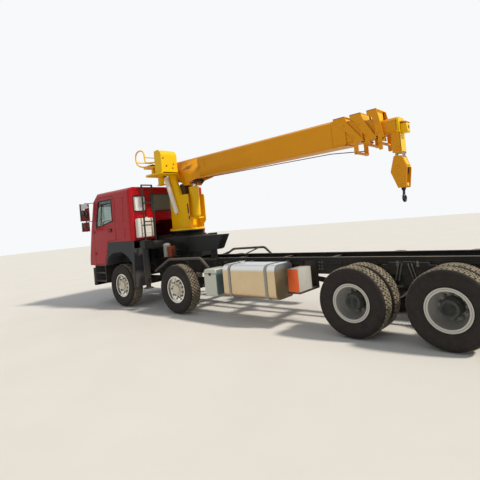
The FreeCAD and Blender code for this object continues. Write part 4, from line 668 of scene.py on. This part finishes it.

# Tool box: folded sheet steel with rounded corners in a pale grey-green lacquer, its rear face painted
# dull teal as painted shade, with a black lid gap and a turn catch. It hangs on the left rail.
TOOL_BOX = [(0.065, 0.487, 0.05), (0.435, 0.487, 0.05), (0.435, 1.03, 0.07), (0.065, 1.03, 0.07)]
box_enamel = painted("pale_green_grey_box_enamel", "#D6D9CB", 0.12, 0.4, 0.1)
box_back_painted_shade = painted("dull_teal_painted_shade_box_back", "#5C7074", 0.2, 0.5, 0.0)
storage = bmesh.new()
cut_plate(storage, TOOL_BOX, "Y", 0.78, 1.2, 0.012)
# The faces towards the rear take the dull teal painted shade.
for face in storage.faces:
    face.material_index = 2 * int(face.normal.x < -0.7)
slab(storage, (0.08, 0.42), (1.195, 1.206), (0.93, 0.936), 0, 1)
slab(storage, (0.22, 0.28), (1.195, 1.214), (0.90, 0.95), 0.003, 1)
finished(storage, "tool_box", "chassis", "box_grey", box_enamel, chassis_black, box_back_painted_shade, stands_for="side_boxes")

# Battery box, air tank and silencer: the box is welded steel with galvanised faces, spangled and
# dull, and its outer side in matt orange primer; the air tank is black; the silencer on the right
# has an aluminised skin. All three hang on the rails.
BATTERY_INNER, BATTERY_FOOT = 0.64, 0.645
primer = painted("orange_red_primer", "#D2571F", 0.12, 0.6, 0.0)
galvanised = painted("galvanised_battery_cover", "#B4B6B2", 0.3, 0.5, 0.0)
silencer_skin = painted("aluminised_silencer_steel", "#77756F", 0.4, 0.55, 0.0)
battery = solids_of("side_boxes", lambda m: m.x < -1.5)
for face in battery.faces:
    middle = face.calc_center_median()
    if middle.y < BATTERY_INNER or middle.z < BATTERY_FOOT:
        face.material_index = 2
    elif face.normal.y > 0.9:
        face.material_index = 1
finished(battery, "battery_box", "chassis", "box_grey", galvanised, primer, chassis_black, stands_for="side_boxes")
finished(solids_of("side_boxes", lambda m: -1.5 < m.x < 0 and m.y < 0), "air_tank", "chassis", "box_grey",
         chassis_black, stands_for="side_boxes")
finished(solids_of("side_boxes", lambda m: m.x > 0 and m.y < 0), "silencer", "chassis", "box_grey",
         silencer_skin, stands_for="side_boxes")

# Washing-water tank: blow-moulded white polyethylene, waxy and soft-edged, with three moulded ribs
# and a screw neck. It stands against the cab's rear wall behind the ladder.
WATER_TANK = [(2.695, 1.76, 0.03), (2.84, 1.76, 0.03), (2.84, 2.24, 0.03), (2.695, 2.24, 0.03)]


def stub(form, radius, length, foot, way, paint=0, steps=28):
    """A plain round bar of this length that stands on foot."""
    round_part(form, [(0, 0), (radius, 0), (radius, length), (0, length)], foot, way, paint, steps)


tank_plastic = painted("white_moulded_polyethylene", "#E4E1D8", 0.08, 0.45, 0.0, 0.1)
water_tank = bmesh.new()
cut_plate(water_tank, WATER_TANK, "Y", 0.70, 1.15, 0.02)
for z in (1.88, 2.0, 2.12):
    slab(water_tank, (2.690, 2.700), (0.74, 1.11), (z - 0.012, z + 0.012), 0.003)
stub(water_tank, 0.03, 0.03, (2.77, 0.85, 2.235), (0, 0, 1))
finished(water_tank, "washing_water_tank", "chassis", "box_grey", tank_plastic)

# Outriggers: square box beams that slide in the crane's base and round jack tubes at their ends,
# welded steel in the frame's satin black.
for side in ("left", "right"):
    dress(chassis_black, "outrigger_beam_" + side, "outrigger_leg_" + side)

# Crane base: the outriggers' welded box with, on its left, a separate oil tank whose underside
# slopes, on two feet, and a shelf with a silver filter can and a red-brown valve block. Three hoses
# run from the valves to the base.
BASE_CUT, BASE_Z, BASE_HALF = 1.705, (1.165, 1.69), 0.452
OIL_TANK = [(1.715, 1.285), (1.715, 1.65), (1.645, 1.69), (0.515, 1.69), (0.715, 1.375), (0.785, 1.355)]
FILTER_CAN = [(0, 0), (0.08, 0), (0.085, 0.01), (0.085, 0.26), (0.09, 0.265), (0.09, 0.30), (0.05, 0.335),
              (0, 0.335)]
VALVE_X, VALVE_Y = 1.915, 0.78


def cut_off_behind(form, x):
    """Takes away what lies behind x."""
    bmesh.ops.bisect_plane(form, geom=form.verts[:] + form.edges[:] + form.faces[:], plane_co=(x, 0, 0),
                           plane_no=(-1, 0, 0), clear_outer=True)


filter_steel = painted("silver_filter_can", "#A9A69C", 0.25, 0.4, 0.0)
valve_copper = painted("red_brown_valve_enamel", "#7C3A22", 0.2, 0.5, 0.0)
base = solids_of("crane_base")
cut_off_behind(base, BASE_CUT)
slab(base, (BASE_CUT - 0.01, BASE_CUT + 0.005), (-BASE_HALF, BASE_HALF), BASE_Z, 0)
cut_plate(base, OIL_TANK, "Y", 0.23, 0.45, 0.006)
for x in (0.95, 1.5):
    slab(base, (x - 0.03, x + 0.03), (0.26, 0.43), (1.16, 1.36))
slab(base, (1.895, 2.205), (0.44, 0.88), (1.233, 1.245))
round_part(base, FILTER_CAN, (2.115, 0.79, 1.24), (0, 0, 1), 1)
slab(base, (VALVE_X, 2.01), (0.69, 0.87), (1.24, 1.495), 0.006, 2)
for z in (1.29, 1.36, 1.43):
    stub(base, 0.018, 0.03, (VALVE_X, VALVE_Y, z), (-1, 0, 0), 2)
    bent_tube(base, [(1.89, VALVE_Y, z), (1.82, VALVE_Y, z - 0.01), (1.80, 0.66, z - 0.06), (1.80, 0.46, z - 0.08)],
              0.011)
finished(base, "base_and_oil_tank", "chassis", "frame_black", chassis_black, filter_steel, valve_copper,
         stands_for="crane_base")

# Column: welded plate in one coat of bright yellow enamel with a light orange peel, with narrow
# flanges along its front edge and foot. Twenty bolts hold its turning flange to the slewing ring,
# and a dark brown box stands behind it as the slewing gear's box; its brown is painted shade, the
# shade under the boom's root.
SLEW_X, FLANGE_TOP, FLANGE_CIRCLE, FLANGE_BOLTS = 2.215, 1.89, 0.415, 20
EDGE_FLANGE = [(2.207, 3.32), (2.218, 3.20), (2.062, 2.78), (2.052, 2.737), (1.80, 2.737), (1.80, 2.727),
               (2.06, 2.727), (2.072, 2.78), (2.228, 3.20), (2.217, 3.32)]
GEAR_BOX = [(1.95, 2.73), (2.17, 2.73), (2.15, 3.02, 0.05), (1.95, 3.02, 0.05)]
crane_yellow = painted("bright_yellow_crane_enamel", "#FFC900", 0.06, 0.38, 0.0, 0.05)
dress(crane_yellow, "crane_column")
flanges = bmesh.new()
plate_pair(flanges, EDGE_FLANGE, 0.208, 0.2805, 0)
finished(flanges, "column_edge_flanges", "crane", "crane_yellow", crane_yellow)
flange_bolts = bmesh.new()
ring = [(SLEW_X + FLANGE_CIRCLE * math.cos(a), FLANGE_CIRCLE * math.sin(a), FLANGE_TOP)
        for a in (2 * math.pi * (i + 0.5) / FLANGE_BOLTS for i in range(FLANGE_BOLTS))]
bolt_heads(flange_bolts, ring, (0, 0, 1), 0.026)
finished(flange_bolts, "turning_flange_bolts", "crane", "crane_yellow", crane_yellow)
# This dark brown is painted shade under the boom's root, on the gear box and on the winch drum.
winch_brown_painted_shade = painted("dark_brown_painted_shade_drum", "#4A2F1E", 0.2, 0.45, 0.0, 0.3)
gear_box = bmesh.new()
cut_plate(gear_box, GEAR_BOX, "Y", -0.2, 0.2, 0.006)
finished(gear_box, "dark_gear_box_painted_shade", "crane", "cast_iron", winch_brown_painted_shade)

# Luffing ram: a forged steel barrel of 256 mm in the crane's yellow, with a rounded foot and a
# gland nut, and a ground rod in hard chrome, bright and smooth. The winch drum is painted dark
# brown: painted shade over the crane's yellow that it wears.
RAM_X, RAM_FOOT = 1.845, 2.13
RAM_BARREL = [(0, -0.02), (0.07, 0.0), (0.118, 0.05), (0.128, 0.09), (0.128, 0.74), (0.134, 0.745),
              (0.134, 0.79), (0.12, 0.80), (0.052, 0.80), (0.0, 0.80)]
barrel = bmesh.new()
round_part(barrel, RAM_BARREL, (RAM_X, 0, RAM_FOOT), (0, 0, 1))
finished(barrel, "forged_ram_barrel", "ram_barrel", "crane_yellow", crane_yellow, stands_for="ram_barrel")
chrome = new_material("hard_chromed_rod", Base_Color=linear("#D5D6D8"), Metallic=1.0, Roughness=0.12)
dress(chrome, "ram_rod")
dress(winch_brown_painted_shade, "winch_drum")

# Operator's place: a 20 mm deck plate with an open pedal box under it, and a 38 mm tube rail that
# makes one smooth loop on the left, tied by thinner tubes to a low rail. Welded, and painted with
# the crane.
DECK = [(2.075, 0.28), (2.075, 0.80, 0.06), (2.80, 0.80, 0.12), (2.80, 0.28, 0.12)]
PEDAL_TRAY = [(2.47, 3.04), (2.48, 3.07), (2.64, 3.07), (2.65, 3.04)]
LOOP_Y, LOOP = 0.77, [(2.357, 3.485), (2.70, 3.53), (2.935, 3.56), (3.135, 3.68), (3.135, 3.94), (2.935, 4.0),
                      (2.755, 3.93), (2.745, 3.7), (2.70, 3.62), (2.357, 3.59)]
LOW_RAIL_Y, LOW_RAIL = 0.32, [(2.357, 3.56), (2.70, 3.54), (2.86, 3.56), (3.06, 3.70)]
platform = bmesh.new()
cut_plate(platform, DECK, "Z", 3.275, 3.32)
slab(platform, (2.50, 2.62), (0.40, 0.50), (3.07, 3.28))
cut_plate(platform, PEDAL_TRAY, "Y", 0.38, 0.52)
bent_tube(platform, [(x, LOOP_Y, z) for x, z in LOOP], 0.019)
bent_tube(platform, [(x, LOW_RAIL_Y, z) for x, z in LOW_RAIL], 0.016)
for x, z in ((3.06, 3.70), (2.755, 3.79)):
    bent_tube(platform, [(x, LOW_RAIL_Y, z), (x, 0.5, z), (x, LOOP_Y, z)], 0.014)
finished(platform, "deck_and_loop_rails", "crane", "crane_yellow", crane_yellow, smooth=60,
         stands_for="seat_platform")

# Operator's seat: a pressed steel pan on a square post, and a thin cushion of black leatherette over
# foam, soft-edged and slightly crowned. Its pores are drawn 2.4 mm apart, coarser than the real ones.
SEAT_PAN = [(2.48, 0.34, 0.05), (2.48, 0.76, 0.05), (2.90, 0.76, 0.08), (2.90, 0.34, 0.08)]
SQUARENESS, PAD_FILL = 0.45, 0.7
pan = bmesh.new()
slab(pan, (2.60, 2.68), (0.50, 0.64), (3.31, 3.50))
cut_plate(pan, SEAT_PAN, "Z", 3.50, 3.525)
finished(pan, "pressed_seat_pan", "crane", "crane_yellow", crane_yellow, stands_for="operator_seat")
leather = new_material("black_seat_leatherette", Base_Color=linear("#1D1C1C"), Roughness=0.55)
place = node(leather, "TexCoord").outputs["Object"]
pores = node(leather, "TexVoronoi", Vector=place, Scale=420)
shade(leather, Normal=node(leather, "Bump", Strength=0.3, Distance=0.001, Height=pores))


def cushion(name, body, node_name, middle, size, lean=0.0):
    """A crowned padded cushion of this size, leaning back by an angle."""
    form = bmesh.new()
    bmesh.ops.create_uvsphere(form, u_segments=28, v_segments=14, radius=1)
    for vert in form.verts:
        vert.co = Vector([math.copysign(abs(c) ** SQUARENESS, c) * s / 2 for c, s in zip(vert.co, size)])
    bmesh.ops.transform(form, matrix=Matrix.Translation(middle) @ Matrix.Rotation(lean, 4, "Y"), verts=form.verts)
    piece = finished(form, name, body, "leather_black", leather, smooth=70, stands_for=node_name)


cushion("operator_cushion", "crane", "operator_seat", (2.67, 0.55, 3.545), (0.34, 0.38, 0.06))

# Console and column fittings: four rubber grommets in the console's face, and two slots with round
# ends in the column's left side, drawn as thin black plates: painted shade in the openings.
CONSOLE_FACE = 2.075
GROMMETS = ((0.40, 3.52, 0.018), (0.43, 3.42, 0.018), (0.62, 3.47, 0.022), (0.71, 3.66, 0.02))
SLOTS = ([(1.775, 2.25, 0.012), (1.825, 2.25, 0.012), (1.835, 2.50, 0.012), (1.79, 2.50, 0.012)],
         [(1.765, 2.10, 0.012), (1.805, 2.10, 0.012), (1.805, 2.20, 0.012), (1.765, 2.20, 0.012)])


def pin_head(radius, proud):
    """Profile of a round boss with a chamfered rim."""
    return [(0, -0.001), (radius, -0.001), (radius, proud * 0.7), (radius * 0.88, proud), (0, proud)]


fittings = bmesh.new()
for y, z, radius in GROMMETS:
    round_part(fittings, pin_head(radius, 0.008), (CONSOLE_FACE, y, z), (-1, 0, 0))
# Each slot is a thin dark plate on the column's side, painted shade where the opening is.
for outline in SLOTS:
    cut_plate(fittings, outline, "Y", 0.279, 0.282, 0)
finished(fittings, "grommets_and_painted_shade_slots", "crane", "plastic_black", seal_rubber)

# Hoses to the console: one bundle in a spiral wrap of white plastic, 1 m long and 116 mm thick,
# whose turns stand out as ridges, and three brass couplings at its top.
HOSE_TOP, HOSE_FOOT, WRAPS = Vector((2.49, 0.35, 3.24)), Vector((2.175, 0.34, 2.29)), 40
WRAP_ROOT, WRAP_CREST, COUPLINGS = 0.054, 0.058, (-0.035, 0.0, 0.035)
hose_wrap = painted("white_spiral_hose_wrap", "#FBF8F0", 0.0, 0.55, 0.0, 0.1)
brass = painted("brass_hose_coupling", "#7B4A1E", 0.15, 0.4, 0.0)
hoses = bmesh.new()
wrap = (HOSE_TOP - HOSE_FOOT).length / WRAPS
ridges = [spot for i in range(WRAPS)
          for spot in ((WRAP_ROOT, i * wrap), (WRAP_CREST, (i + 0.2) * wrap), (WRAP_CREST, (i + 0.75) * wrap))]
round_part(hoses, [(0, 0)] + ridges + [(0, WRAPS * wrap)], HOSE_FOOT, HOSE_TOP - HOSE_FOOT)
for shift in COUPLINGS:
    stub(hoses, 0.014, 0.1, HOSE_TOP + Vector((shift, 0.01, -0.02)), (0.2, 0, 1), 1, 12)
finished(hoses, "wrapped_hoses", "crane", "plastic_black", hose_wrap, brass, smooth=30)

# Boom: four nested folded-plate tubes of 8 mm, 490 mm high and 400 wide at the root, each mouth with
# a welded collar of two 14 mm cheek plates, a cover, a frame and a hanging roller. Fairly flat plates
# with bent corners of 40 mm; the cheeks' edges catch the light. Black nylon rubbing pads at each tail.
BOOM_LOW, BOOM_HIGH, COLLAR_IN, COLLAR_OUT, COLLAR_TOP = 3.11, 3.60, 0.2, 0.214, 3.62
SHOULDER, HEEL, ROOT_CUT, ROOT_MOUTH, HEAD_X = 3.49, 3.12, -2.225, -2.455, -3.325
FOLD, WALL, FRAME_THICK, GAP, PAD_LONG, PAD_HALF, PAD_GAP = 0.04, 0.008, 0.03, 0.004, 0.16, 0.09, 0.009
# Tail, mouth, half width, low and high side of each tube
SECTIONS = [(1.2, ROOT_MOUTH, 0.2, BOOM_LOW, BOOM_HIGH), (2.205, -2.765, 0.182, 3.128, 3.538),
            (2.145, -3.015, 0.164, 3.146, 3.476), (2.085, -3.355, 0.146, 3.164, 3.414)]
# Head, rear, band, foot's front and back, foot's drop and roller's drop of each collar
COLLARS = [(-2.275, -2.505, -2.827, -2.625, -2.707, 0.195, 0.170),
           (-2.596, -2.80, -3.048, -2.84, -2.915, 0.092, 0.065),
           (-2.906, -3.077, -3.165, -3.06, -3.127, 0.190, 0.080)]
BOSSES = [[(-2.42, 3.576), (-2.468, 3.451), (-2.643, 3.214)], [(-2.759, 3.408), (-2.871, 3.202)],
          [(-3.042, 3.384), (-3.099, 3.229)]]
ROOT_RIBS, SHEAVES = (2.025, 1.795, 1.395, 1.175), (-0.045, -0.015, 0.015, 0.045)


def boom_tube(form, tail, mouth, half, low, high):
    """A folded box tube with cut corners, open at both ends."""
    part = bmesh.new()
    edges = []
    for step in (0, WALL):
        y, below, above, cut = half - step, low + step, high - step, FOLD - step * 0.4
        ring = [(-y, below + cut), (-y, above - cut), (cut - y, above), (y - cut, above), (y, above - cut),
                (y, below + cut), (y - cut, below), (cut - y, below)]
        verts = [part.verts.new((tail, *spot)) for spot in ring]
        edges += [part.edges.new(pair) for pair in zip(verts, verts[1:] + verts[:1])]
    bmesh.ops.bridge_loops(part, edges=edges)
    raised = bmesh.ops.extrude_face_region(part, geom=list(part.faces))["geom"]
    bmesh.ops.translate(part, vec=(mouth - tail, 0, 0),
                        verts=[item for item in raised if isinstance(item, bmesh.types.BMVert)])
    bmesh.ops.recalc_face_normals(part, faces=part.faces)
    add_part(form, part, 0)


def collar(form, head, rear, band, foot_front, foot_back, drop, roller, mouth, inner):
    """Cheeks, cover, mouth frame and roller; inner is the next tube's half width, low and high side."""
    foot = BOOM_LOW - drop
    half, low, high = inner
    frame_x, under_cover = (mouth, mouth - FRAME_THICK), COLLAR_TOP - 0.01
    cheek = [(head, COLLAR_TOP), (rear, COLLAR_TOP), (rear - 0.025, SHOULDER + 0.015), (band, HEEL),
             (foot_back, HEEL), (foot_back, foot, 0.02), (foot_front, foot, 0.02), (foot_front, HEEL + 0.09),
             (head - 0.079, SHOULDER), (head, SHOULDER + 0.06)]
    plate_pair(form, cheek, COLLAR_IN, COLLAR_OUT)
    for side in (1, -1):
        slab(form, frame_x, (side * (half + GAP), side * COLLAR_IN), (BOOM_LOW, under_cover), 0)
    slab(form, (head, rear), (-COLLAR_OUT, COLLAR_OUT), (COLLAR_TOP - 0.012, COLLAR_TOP), 0.002, 2)
    for limits in ((high + GAP, under_cover), (BOOM_LOW, low - GAP)):
        slab(form, frame_x, (-COLLAR_IN, COLLAR_IN), limits, 0, 2)
    stub(form, 0.024, 2 * COLLAR_OUT, ((foot_front + foot_back) / 2, -COLLAR_OUT, BOOM_LOW - roller), (0, 1, 0))


def pin_pair(form, radius, x, y, z):
    """A pin's chamfered head on the left and on the right."""
    for side in (1, -1):
        round_part(form, pin_head(radius, 0.012), (x, side * y, z), (0, side, 0))


def sheave(form, rim, groove, half, place):
    """A rope sheave that turns across the truck, in the second material."""
    round_part(form, [(0, -half), (rim, -half), (groove, -0.004), (groove, 0.004), (rim, half), (0, half)], place,
               (0, 1, 0), 1)


def boom_head(form):
    """The last tube's end: legs with a pin and sheaves, a back plate, a cap, and a hooded nose box."""
    legs = [(HEAD_X + 0.085, 3.17), (HEAD_X + 0.085, 2.84, 0.01), (HEAD_X - 0.065, 2.82, 0.01),
            (HEAD_X - 0.065, 3.17)]
    cap = [(-0.146, 3.164), (-0.146, 3.374), (-0.106, 3.414), (0.106, 3.414), (0.146, 3.374), (0.146, 3.164)]
    hood = [(-3.39, 3.345), (-3.49, 3.325), (-3.51, 3.31), (-3.49, 3.31), (-3.39, 3.33)]
    plate_pair(form, legs, 0.095, 0.11)
    pin_pair(form, 0.03, HEAD_X, 0.11, 2.91)
    slab(form, (HEAD_X - 0.055, HEAD_X - 0.067), (-0.11, 0.11), (2.85, 3.17), 0.001, 2)
    cut_plate(form, cap, "X", -3.345, -3.395, 0.003, 2)
    slab(form, (-3.39, -3.50), (-0.075, 0.075), (3.15, 3.31), 0.012, 2)
    cut_plate(form, hood, "Y", -0.09, 0.09, 0)
    stub(form, 0.03, 0.004, (-3.498, 0, 3.235), (-1, 0, 0), 1)
    for y in SHEAVES:
        sheave(form, 0.055, 0.046, 0.011, (HEAD_X, y, 2.91))


# The boom's paint is the crane's yellow. This orange is painted shade, put on the boom's sides and the hook block's
# cheeks; the faces that meet the sun, the collars' covers and frames and the head's back plate, cap and nose, keep
# the crane's yellow.
boom_orange_painted_shade = painted("boom_enamel_orange_painted_shade", "#F2A208", 0.06, 0.38, 0.0, 0.05)
pad_nylon = painted("black_nylon_rubbing_pad", "#1A1A1B", 0.2, 0.4, 0.0)
for order, (tail, mouth, half, low, high) in enumerate(SECTIONS):
    name = "boom_section_%d" % (order + 1)
    if order == 0:
        form = solids_of(name)
        cut_off_behind(form, ROOT_CUT)
        boom_tube(form, ROOT_CUT + GAP, mouth, half, low, high)
        for x in ROOT_RIBS:
            plate_pair(form, [(x - 0.005, 3.3), (x - 0.005, 3.56), (x + 0.005, 3.56), (x + 0.005, 3.3)], 0.2, 0.212)
    else:
        form = bmesh.new()
        boom_tube(form, tail, mouth, half, low, high)
        outer = SECTIONS[order - 1]
        pad_x = (tail, tail - PAD_LONG)
        for limits in ((high, outer[4] - PAD_GAP), (outer[3] + PAD_GAP, low)):
            slab(form, pad_x, (-PAD_HALF, PAD_HALF), limits, 0.001, 1)
        for side in (1, -1):
            slab(form, pad_x, (side * half, side * (outer[2] - PAD_GAP)), (low + 0.1, low + 0.2), 0.001, 1)
    if order < len(COLLARS):
        collar(form, *COLLARS[order], mouth, SECTIONS[order + 1][2:])
        for x, z in BOSSES[order]:
            pin_pair(form, 0.017, x, COLLAR_OUT, z)
    else:
        boom_head(form)
    finished(form, "welded_" + name, "boom_%d" % (order + 1), "crane_yellow", boom_orange_painted_shade, pad_nylon,
             crane_yellow, stands_for=name)

# Hook block: two 20 mm cheeks 275 mm across at the sheaves, narrowing to the hook's trunnion, flame-cut
# and painted as the boom is: the cheeks in its orange painted shade, the trunnion and cross plate in the
# crane's yellow. Between them are four dark sheaves of 200 mm and yellow guards, and eight
# falls of galvanised 13 mm wire rope run up to the head.
CHEEK = [(0.075, 2.79, 0.01), (-0.06, 2.78, 0.01), (-0.125, 2.57, 0.01), (-0.08, 2.255, 0.01), (0.05, 2.255, 0.01),
         (0.15, 2.53, 0.01)]
BLOCK_PINS = ((0.03, 2.60, 0.028), (0.015, 2.46, 0.012), (0.0, 2.31, 0.016))
TRUNNION = [(-0.083, 2.27), (-0.087, 2.33), (0.05, 2.33), (0.04, 2.27)]
GUARD = [(-0.12, 2.62), (-0.075, 2.75), (-0.063, 2.75), (-0.108, 2.62)]
FALL_RADIUS, FALL_LEAN = 0.0065, ((1.5, 2.60), (1.2, 2.75), (1, 2.90))


def at_head(outline):
    """An outline measured from the boom head's pin."""
    return [(HEAD_X + x, *rest) for x, *rest in outline]


block = bmesh.new()
plate_pair(block, at_head(CHEEK), 0.09, 0.11, 0.004)
for x, z, radius in BLOCK_PINS:
    pin_pair(block, radius, HEAD_X + x, 0.11, z)
slab(block, (HEAD_X - 0.122, HEAD_X - 0.02), (-0.09, 0.09), (2.585, 2.60), 0.002, 3)
cut_plate(block, at_head(TRUNNION), "Y", -0.03, 0.05, 0.006, 3)
cut_plate(block, at_head(GUARD), "Y", -0.04, 0.09, 0, 3)
for y in (-0.06, -0.02, 0.02, 0.06):
    sheave(block, 0.1, 0.088, 0.012, (HEAD_X + 0.01, y, 2.54))
    for x in (0.05, -0.05):
        bent_tube(block, [(HEAD_X + lean * x, y, z) for lean, z in FALL_LEAN], FALL_RADIUS, 2)
finished(block, "sheaved_hook_block", "hook_block", "crane_yellow", boom_orange_painted_shade, pad_nylon, galvanised,
         crane_yellow, stands_for="hook_block")

# Wire rope: six strands laid round a core, of steel drawn bright and then greased, so it is dark and
# half dull. The lay is drawn as slanted ridges about 29 mm apart, twice the real spacing, to show.
rope_wire = new_material("greased_steel_wire_rope", Base_Color=linear("#55514B"), Metallic=0.8, Roughness=0.5)
place = node(rope_wire, "TexCoord").outputs["Object"]
lay = node(rope_wire, "TexWave", {"bands_direction": "DIAGONAL"}, Vector=place, Scale=22).outputs["Fac"]
shade(rope_wire, Normal=node(rope_wire, "Bump", Strength=0.8, Distance=0.002, Height=lay))
dress(rope_wire, "hoist_rope")

# Hook: drop-forged steel, blackened and rough, hung in the block's trunnion by a collar and a nut, so
# that it swivels. Its ring lies across the truck, and a flat steel latch closes it.
HOOK_Z, HOOK_BEND, HOOK_THICK = 2.085, 0.052, 0.022
LATCH = [(-0.046, 2.10), (-0.052, 2.11), (0.0, 2.17), (0.006, 2.16)]
hook_steel = painted("black_forged_hook_steel", "#26262A", 0.1, 0.45, 0.1, 0.3)
hook = bmesh.new()
shank = [(HEAD_X, 0, 2.30), (HEAD_X, 0, 2.23), (HEAD_X, 0, 2.18)]
bend = [(HEAD_X, HOOK_BEND * math.sin(a), HOOK_Z + HOOK_BEND * math.cos(a))
        for a in (math.radians(step) for step in range(20, 311, 29))]
bent_tube(hook, shank + bend, HOOK_THICK)
round_part(hook, [(0, 0), (0.03, 0), (0.036, 0.02), (0.036, 0.045), (0, 0.045)], (HEAD_X, 0, 2.215), (0, 0, 1))
cut_plate(hook, LATCH, "X", HEAD_X - 0.01, HEAD_X + 0.01)
finished(hook, "forged_hook", "hook", "steel", hook_steel, smooth=60, stands_for="hook")

# Cab interior: a moulded black dashboard with the steering wheel, two sprung seats with leaning
# backs, and a bunk across the rear. Seats and bunk are foam under the same leatherette.
SEAT_BACK_LEAN = -0.17
finished(solids_of("cab_interior", lambda m: m.x > 4.3), "dashboard_and_wheel", "chassis", "plastic_black",
         trim_black, stands_for="cab_interior")
for side, y in (("left", 0.87), ("right", -0.87)):
    cushion("seat_cushion_" + side, "chassis", "cab_interior", (3.745, y, 2.03), (0.5, 0.5, 0.15))
    cushion("seat_back_" + side, "chassis", "cab_interior", (3.485, y, 2.42), (0.14, 0.5, 0.74), SEAT_BACK_LEAN)
cushion("bunk_mattress", "chassis", "cab_interior", (3.09, 0, 2.28), (0.4, 2.38, 0.13))
